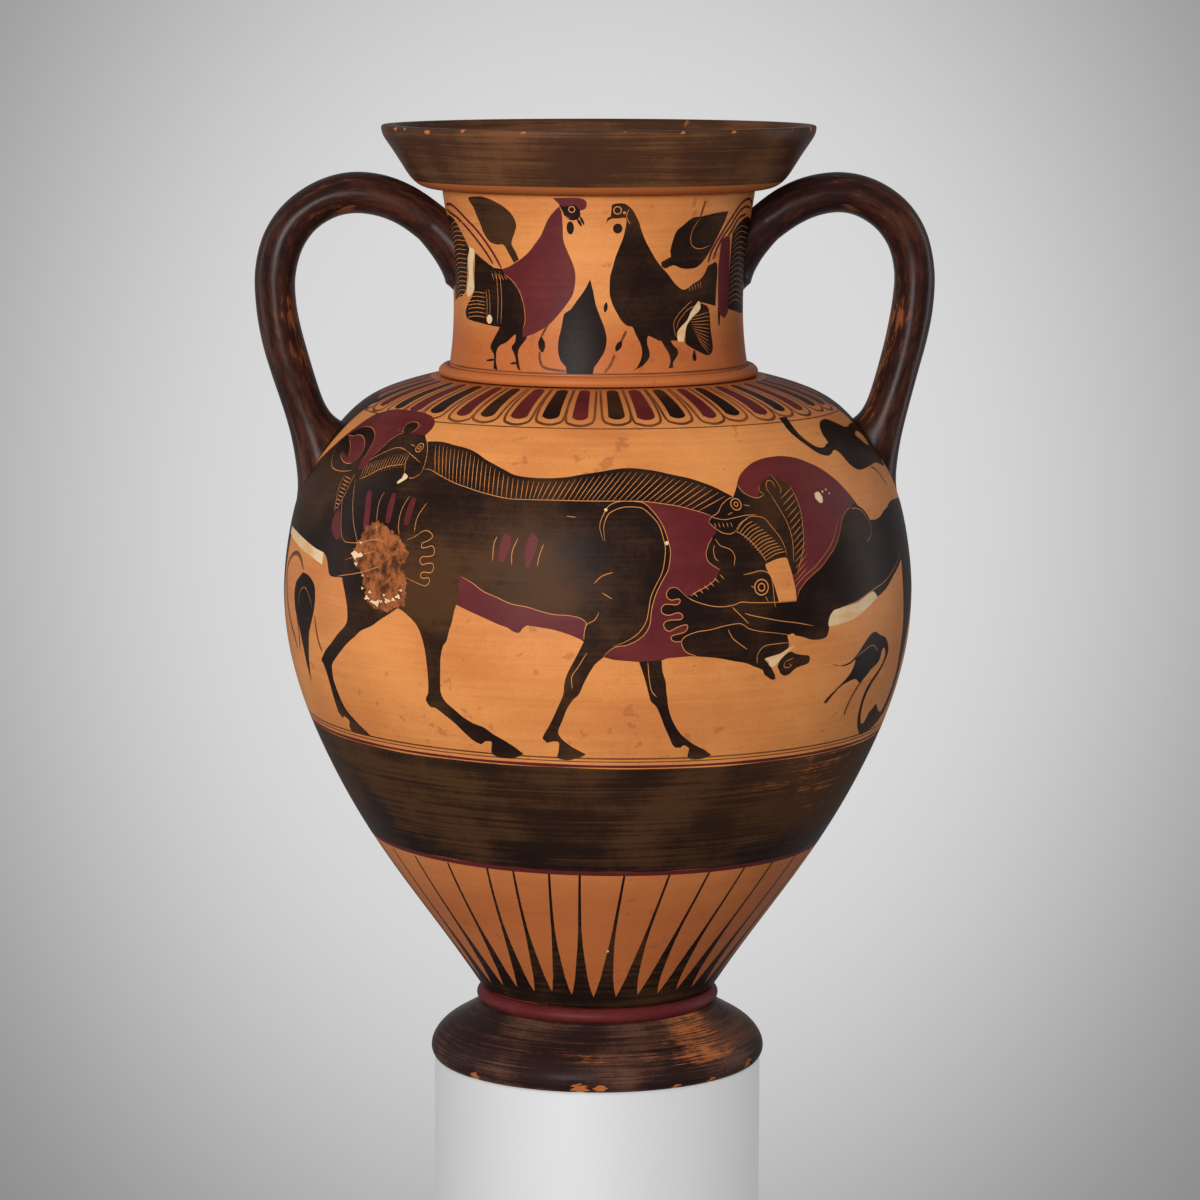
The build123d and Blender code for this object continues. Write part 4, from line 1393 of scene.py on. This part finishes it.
feed(worn_haunch.node_tree, haunch_shader.inputs["Normal"], (rub * 0.1 + crust * 0.15).bump(1.0))
cut_lines = [
    quad
    for line in [*boar_lines, *lion_lines, *left_lines, *bud_lines]
    for quad in stroke(on_body, line, cut_width)
]
cut_lines += eye_rings


def both(outlines):
    """The outlines, and the same again half a turn on, for the far side."""
    return [*outlines, *(outline + half_turn for outline in outlines)]


figures = both([*boar, *right_lion, *left_lion, *buds])
body_black = coat(
    "body_black",
    on_body,
    [*figures, *webs, *band, *foot_ring, *rays, *black_tongues],
    both([*cut_lines, *openings]),
    black_lift,
    black,
)
azimuth, height, radius = places(body_black)
band_height = np.exp(-(((height - 132) / 26) ** 4))
worn = band_height * (0.12 + 0.42 * np.exp(-(((azimuth - 52) / 26) ** 2)))
low_rub = np.exp(-(((azimuth - 24) / 22) ** 2)) * np.exp(-(((height - 137) / 9) ** 2)) * 0.16
mark(body_black, "bare", worn + low_rub * (height < 160))


def soft_spot(at_azimuth, at_height, wide, tall):
    """A soft oval patch on the body, 1 at its middle."""
    return np.exp(-(((azimuth - at_azimuth) / wide) ** 2) - ((height - at_height) / tall) ** 2)


# The brown mark holds thin slip along the band, with more brown on the band's right and on the left lion's
# mane. It also holds painted sheen: the soft olive-brown patches on the boar's flank are a painted
# reflection of the lamps.
thin_slip_and_painted_sheen = 0.9 * soft_spot(-32, 228, 9, 24)
thin_slip_and_painted_sheen = thin_slip_and_painted_sheen + 0.75 * soft_spot(-16, 214, 13, 24)
thin_slip_and_painted_sheen = thin_slip_and_painted_sheen + 0.35 * soft_spot(-34, 190, 6, 40)
thin_slip_and_painted_sheen = thin_slip_and_painted_sheen + 0.6 * band_height + 0.6 * soft_spot(50, 130, 26, 24) + 0.5 * soft_spot(-58, 262, 10, 14)
mark(body_black, "brown", thin_slip_and_painted_sheen)
red_fills = both([*boar_red, *lion_red, *left_red])
coat(
    "body_red",
    on_body,
    [*red_fills, *red_tongues, *red_lines],
    both([*cut_lines, *openings, *left_red_holes, *chips]),
    red_lift,
    red,
    upper_bed,
)
coat(
    "body_white", on_body, both([*white_marks, *chips]), both(eye_rings), white_lift, white,
    upper_bed,
)
coat(
    "body_brown", on_body, [*both(brown_strokes), *brown_tongues, *brown_lines], [], brown_lift, thin_brown,
)
patch = fine(shape(on_body, [*haunch_worn, haunch_worn[0]]), 0.8)
turned = np.arange(len(patch))
patch = patch + np.stack(
    [np.sin(turned * 0.9) + np.sin(turned * 2.3), np.sin(turned * 1.3) + np.cos(turned * 2.9)],
    -1,
) * 0.45
haunch_cuts = [quad for line in left_lines for quad in stroke(on_body, line, cut_width)]
coat("haunch_worn", on_body, [patch], haunch_cuts, patch_lift, worn_haunch, upper_bed)
coat("pale_flakes", on_body, flakes, [], flake_lift, white, upper_bed)

# ---------------------------------------------------------------- cocks on the neck
# Two cocks face each other over a hanging bud, with a bud behind each. The left one's neck and
# breast and the tail curves are dull red, the wing bands white, every feather line cut to the clay.
on_neck = neck_wall
neck_turn = np.array((180 * neck_wall.flat, 0))
neck_cut_width = 0.29
neck_spacing = 2.0
left_wing = [(-42.9, 42.8), (-47.2, 43.1), (-51.6, 45.4), (-56.5, 48.1), (-58.1, 48.6)]
left_wing_low = [
    (-58.6, 44.8), (-59.7, 39.5), (-60.3, 33.6), (-63, 29.5), (-65.7, 27.2), (-67.9, 23.6), (-66.8, 21.3),
    (-63.5, 20.4), (-57.5, 19.8), (-51.6, 19.2), (-44.5, 18.6),
]
breast = [
    (-16.5, 68.4), (-16.3, 64.2), (-16.2, 60.1), (-16.1, 55.4), (-14.6, 50.7), (-13, 46.6), (-11.9, 42.5),
    (-11.9, 38.4), (-12.7, 33.6), (-14.6, 30.1), (-17.1, 26.6), (-19.5, 23.6), (-22.2, 20.7), (-25.5, 18.4),
    (-28.7, 16.6), (-32, 15.4), (-33.6, 15.1),
]
cock_back = [
    (-17.3, 69.5), (-19.5, 67.2), (-21.7, 64.2), (-23.3, 60.7), (-24.9, 57.2), (-27.1, 54.2), (-29.8, 50.7),
    (-33.1, 47.8), (-36.3, 45.7), (-39.6, 43.9), (-42.9, 42.8),
]
wing_front = [
    (-41.8, 40.7), (-38.5, 38.4), (-35.8, 35.4), (-33.9, 31.3), (-32.8, 26.6), (-32.5, 21.9), (-33.4, 18.4),
]
face = [(-17.3, 70.1), (-16, 67.2), (-15.4, 65.4), (-13.5, 63.9), (-11.3, 63.9), (-9.7, 65.4), (-9.7, 67.8)]
left_tail = [(-82, 63.4), (-76.6, 63.1), (-72.2, 61.6), (-68.4, 58.4), (-64.6, 54.2), (-61.9, 50.1)]
left_tail_low = [
    (-64.1, 46.6), (-65.2, 40.7), (-66.2, 36), (-67.6, 32.5), (-71.1, 30.1), (-76.6, 28.9), (-82, 27.2),
]
cocks = [
    shape(on_neck, cock_back, left_wing[1:], left_wing_low, [(-38, 16.2)], breast[::-1]),
    shape(on_neck, face, [(-10.6, 70.6), (-15.7, 70.4)]),
    dot(on_neck, (-13.4, 60.6), 1.5, 1.8),
    shape(on_neck, left_tail, left_tail_low),
    shape(
        on_neck,
        [
            (-44.5, 18.9), (-46.7, 15.4), (-48.8, 11.9), (-49.4, 10.1), (-48.3, 8.4), (-47.2, 7.2),
            (-46.9, 4.8), (-46.7, 1.3),
        ],
        [(-44.5, 1), (-45.7, 4.2), (-45.9, 8.4), (-44.5, 11), (-41.2, 12.5), (-38.5, 14.8), (-36, 17)],
    ),
    shape(
        on_neck,
        [(-36.5, 17.5), (-36.9, 13.1), (-38.4, 10.7), (-36.9, 7.8), (-36.1, 5.4), (-35.3, 2.5), (-33.6, 1)],
        [(-34.7, 4.8), (-35.3, 7.8), (-34.7, 10.7), (-32, 14.2), (-31, 17)],
    ),
    shape(
        on_neck,
        [
            (-58.1, 71.9), (-53.7, 72.5), (-49.4, 72.5), (-44, 71), (-39.1, 68.4), (-36.1, 65.4),
            (-34.7, 61.3), (-35.8, 57.8), (-37.4, 53.6), (-35.8, 50.1), (-34.2, 46.4),
        ],
        [
            (-36.9, 45.6), (-39.1, 49.5), (-41.2, 52.8), (-44.5, 52.8), (-48.3, 53.9), (-51, 57.2),
            (-52.7, 61.3), (-54.3, 64.8), (-55.4, 67.8), (-57.5, 70.1),
        ],
    ),
]
for line, width in (
    ([(-10.8, 64.5), (-9.2, 61.3)], 1.1),
    ([(-9.7, 65.3), (-8.3, 61.9)], 1.0),
    ([(-51, 4.5), (-46.7, 5.1)], 1.0),
    ([(-38.5, 3.9), (-35, 4.5)], 1.0),
):
    cocks += stroke(on_neck, line, width)
middle_bud = [(-6.2, 39.5), (-8.1, 35.4), (-10.8, 31.3), (-13.5, 27.2)]
middle_bud_left = [
    (-16, 25.4), (-16.5, 24.2), (-17.3, 19.5), (-18.4, 14.2), (-18.4, 9.5), (-17.3, 6), (-15.2, 3.4),
]
middle_bud_right = [
    (-4.6, 3.4), (-2.9, 6), (-0.7, 10.1), (0.1, 14.8), (-0.7, 19.5), (-2.4, 24.2), (-4, 28.9), (-5.1, 34.8),
]
cocks.append(shape(on_neck, middle_bud, middle_bud_left, [(-14.9, 0.6), (-5.1, 0.6)], middle_bud_right))
for tip, foot_spot, width in (
    ((-25.5, 15.4), (-24.8, 9.2), 3.0), ((5.8, 14.2), (3.6, 10.1), 2.2), ((0, 30), (-0.5, 26), 1.6),
):
    cocks += stroke(on_neck, [tip, foot_spot], width, 0.3)
neck_brown = []
for line in (
    [(-22.5, 21.3), (-25.5, 15.4)],
    [(-26, 9.5), (-25.5, 5.4), (-23.3, 2.8), (-15.2, 1.6)],
    [(7.7, 18.4), (5.8, 14.2)],
    [(3.1, 8.4), (1.4, 4.2), (-0.7, 1.3)],
    [(38.9, 71), (37.3, 64.8)],
):
    neck_brown += stroke(on_neck, line, 1.1, 0.8)
right_back = [
    (1.7, 70.1), (3.1, 70.7), (6.3, 70.6), (9, 68.4), (10.4, 66), (11.8, 63.1), (13.1, 58.9), (14.8, 54.8),
    (16.7, 51.3), (18.8, 47.8), (21, 44.8), (24.3, 41.3), (27, 37.8), (29.7, 35.4), (31.9, 34.5),
    (34, 35.4), (36.2, 36.9), (39.5, 38.4), (41.7, 40.7), (43.3, 43.6),
]
right_low = [
    (40.6, 29), (38.5, 27.2), (35.5, 24), (33, 20.5), (32, 16.6), (30.8, 13.6), (26.4, 13.9), (21.5, 13.8),
    (17.7, 15.6), (14.5, 16.4), (12.8, 13.9),
]
right_front = [
    (11.2, 17.2), (10.1, 19.8), (8, 20.4), (5.8, 22.5), (4.2, 25.4), (2.5, 28.9), (1.4, 32.5), (1.2, 36),
    (1.4, 40.7), (2.3, 44.2), (3.3, 48.4), (4.7, 52.5), (6.1, 56.6), (6.9, 60.7), (7.1, 63.6), (6.6, 64.8),
    (3.6, 64.5),
]
right_fan = [
    (32.4, 13.6), (33, 11.9), (38.4, 8.9), (43.8, 6.9), (46.8, 9.5), (46, 17.2), (44.9, 26), (40.6, 28.6),
]
right_bud = [
    (24.8, 50.7), (25.6, 54.8), (27, 58.9), (29.7, 61.3), (33.5, 64.2), (38.4, 64.8), (46, 66),
    (52.8, 66.3),
]
right_bud_low = [
    (51.4, 62.5), (49.3, 58.9), (46.5, 54.2), (43.8, 50.1), (40.6, 46), (37.3, 43.6), (33, 43.1),
    (29.7, 43.6), (26.4, 44.8), (23.2, 43.6), (21.5, 44.5),
]
right_tail = [(58, 57.2), (63.9, 61.3), (72.1, 63.1), (80, 61.3)]
right_tail_low = [(80, 22), (72.1, 22.5), (66.7, 23.6), (58.6, 25.1)]
cocks += [
    shape(
        on_neck, right_back, [(44, 44.2), (49, 44), (49, 27)], right_low, right_front,
        [(2, 64.6), (0.3, 63.6), (-0.2, 62.2), (0.2, 64.6), (1.4, 65.4)],
    ),
    dot(on_neck, (4, 60.4), 1.9, 1.1),
    shape(on_neck, right_fan, [(36, 24), (33, 19)]),
    shape(
        on_neck,
        [(12.3, 16), (13.7, 10.7), (13.4, 7.2), (11.8, 3.6), (10.1, 1.9)],
        [(13.9, 3.9), (16.4, 6.9), (16.7, 9.5), (15.8, 13.6), (16.5, 17)],
    ),
    shape(
        on_neck,
        [(20.5, 16), (23.2, 11.3), (24.8, 8.4), (25.3, 5.4), (24.3, 2.5)],
        [(26.4, 2.8), (26.4, 4.8), (28.6, 7.8), (28.6, 10.1), (26.4, 12.5), (25.4, 15.6)],
    ),
    shape(on_neck, [(21.3, 46.3), (25.3, 48.4)], right_bud, right_bud_low),
    shape(on_neck, right_tail, right_tail_low),
    shape(on_neck, [(50.6, 26), (52.4, 26), (52, 20), (51.4, 18.6), (50.9, 20)]),
    dot(on_neck, (36.5, 6.6), 1.1, 1.6),
    dot(on_neck, (36.6, 8.2), 0.6, 2.0),
]
panel = [
    (50.3, 54.8), (55.8, 55.4), (57.4, 46.6), (58.5, 34.8), (58.5, 25.4), (56.3, 22.2), (54.2, 21.9),
    (50.9, 24.8),
]
neck_red = [
    shape(on_neck, cock_back, wing_front, breast[::-1]),
    shape(
        on_neck,
        [(-19.5, 72.8), (-14.1, 73), (-9.2, 72.8), (-7.3, 71.2), (-7.8, 68.6), (-9.7, 67.8)],
        [(-11.3, 70.1), (-15.7, 69.5), (-17.3, 70.4)],
    ),
    shape(on_neck, panel, [(50.3, 34.8), (49.8, 43.6)]),
]
tail_curves = [
    [
        (-82, 67.8), (-73.8, 68.1), (-67.3, 66), (-61.3, 62.5), (-55.9, 58.9), (-51, 54.2), (-46.7, 48.9),
        (-43.1, 43.1),
    ],
    [(-82, 65.7), (-76.6, 64.5), (-70, 63.1), (-63.5, 60.1), (-57.5, 55.7), (-51.6, 50.1), (-47.5, 44.8)],
    [
        (43.3, 45.4), (44.9, 50.1), (48.2, 54.8), (52.5, 60.1), (56.9, 64.5), (61.2, 68.4), (66.7, 70.4),
        (72.1, 70.4), (80, 67.2),
    ],
    [(46, 46.6), (48.2, 51.3), (51.4, 56), (55.8, 60.1), (61.2, 65.4), (67.7, 67.5), (74.8, 66.6)],
    [(53.1, 54.2), (57.4, 58.4), (62.3, 63.1), (69.4, 64.2)],
]
for line in tail_curves:
    neck_red += stroke(on_neck, line, 1.15, 0.6)
feather_lines = [wing_front, cock_back, [(-17.1, 69.3), (-16.3, 67.2), (-15.6, 65.6), (-13.6, 64.4)]]
for across, high in ((-52.4, 34), (-50.7, 34), (-46.1, 42), (-44.2, 42)):
    feather_lines.append([(across, high), (across + 0.5, (high + 20) / 2), (across, 20)])
feather_lines += [
    [(-66, level - 0.8), (-59, level + 0.2), (-52.8, level)]
    for level in (32.2, 30.4, 28.6, 27.2, 25.7, 23.9, 22.2)
]
feather_lines += [[(-48.6 + 1.7 * n, 41.6 - 0.4 * n), (-47.4 + 1.7 * n, 37.6 + 0.2 * n)] for n in range(5)]
for n in range(18):
    level = 61.6 - 1.9 * n
    feather_lines.append([(-83, level - 7), (-75, level - 1.2), (-63.4 - 0.1 * n, level - 0.6)])
feather_lines += [
    [(0.3, 30.7), (2, 27.2), (4.7, 21.9), (8.2, 18.6)],
    [(8, 68.4), (7.1, 65.4), (8.6, 62)],
    [(35.9, 29.8), (33, 27.8), (29.2, 24.2), (27.3, 20.7), (27.8, 16.6), (28.9, 14.8)],
    [(37.3, 27.8), (33.5, 26), (29.7, 21.9), (28.3, 18.4)],
]
feather_lines += [[(34 + 1.4 * n, 36.2 + 0.4 * n), (34.8 + 1.4 * n, 33.6 + 0.3 * n)] for n in range(5)]
feather_lines += [[(34.2 + 0.45 * n, 22.8 - 0.9 * n), (45.6 - 0.1 * n, 24.8 - 1.75 * n)] for n in range(11)]
feather_lines += [
    [(37, 63.9), (34.6, 60.1), (33.5, 56.6), (34, 53.4), (36.2, 51.6), (39.5, 51.3), (43.8, 52.5)]
]
feather_lines.append([(49.5, 45), (49.5, 26)])
feather_lines += [[(58.8, 56.6 - 2.1 * n), (66, 59.4 - 2.2 * n), (81, 57 - 2.3 * n)] for n in range(15)]
cock_eyes = [
    *ring(on_neck, (-12.7, 68.2), 1.2, 0.4),
    *ring(on_neck, (3.8, 67.9), 1.5, 0.45),
    dot(on_neck, (6.3, 66.9), 0.6),
]
neck_white = [
    shape(
        on_neck,
        [
            (-61.6, 51), (-58.6, 50.1), (-58.4, 47.8), (-60.3, 43.1), (-60.5, 37.8), (-60.3, 33.6),
            (-62.4, 31.3), (-65.2, 29.8),
        ],
        [(-66.5, 31.3), (-65.7, 34.8), (-64.1, 38.4), (-63.5, 45.4), (-62.2, 48.4)],
    ),
    dot(on_neck, (-50.5, 21.6), 1.7, 1.1),
    shape(
        on_neck,
        [(38.9, 29.5), (39.9, 28.9), (39.9, 26), (36.2, 23.1), (33.5, 20.1), (32.4, 16.6), (31.6, 13.1)],
        [(28.9, 13.4), (28.9, 17.2), (30.8, 19.5), (33.5, 21.9), (35.4, 25.4), (38.4, 28.9)],
    ),
]
neck_cuts = [quad for line in feather_lines for quad in stroke(on_neck, line, neck_cut_width)] + cock_eyes


def around_neck(outlines):
    """The outlines, and the same again half a turn on."""
    return [*outlines, *(outline + neck_turn for outline in outlines)]


neck_base_line = hoop(on_neck, 0.25, 0.95, 0.0, 0.05)
coat(
    "neck_black", on_neck, around_neck(cocks), around_neck(neck_cuts), black_lift, black,
    spacing=neck_spacing,
)
coat(
    "neck_red", on_neck, around_neck(neck_red), around_neck(neck_cuts), red_lift, red,
    upper_bed, neck_spacing,
)
coat(
    "neck_white", on_neck, around_neck(neck_white), [], white_lift, white, upper_bed,
    neck_spacing,
)
coat(
    "neck_brown", on_neck, [*around_neck(neck_brown), *neck_base_line], [], brown_lift, thin_brown,
    spacing=neck_spacing,
)

# ---------------------------------------------------------------- size of the finished vase
# The box of the vase as it is dressed here, in metres.
low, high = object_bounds()
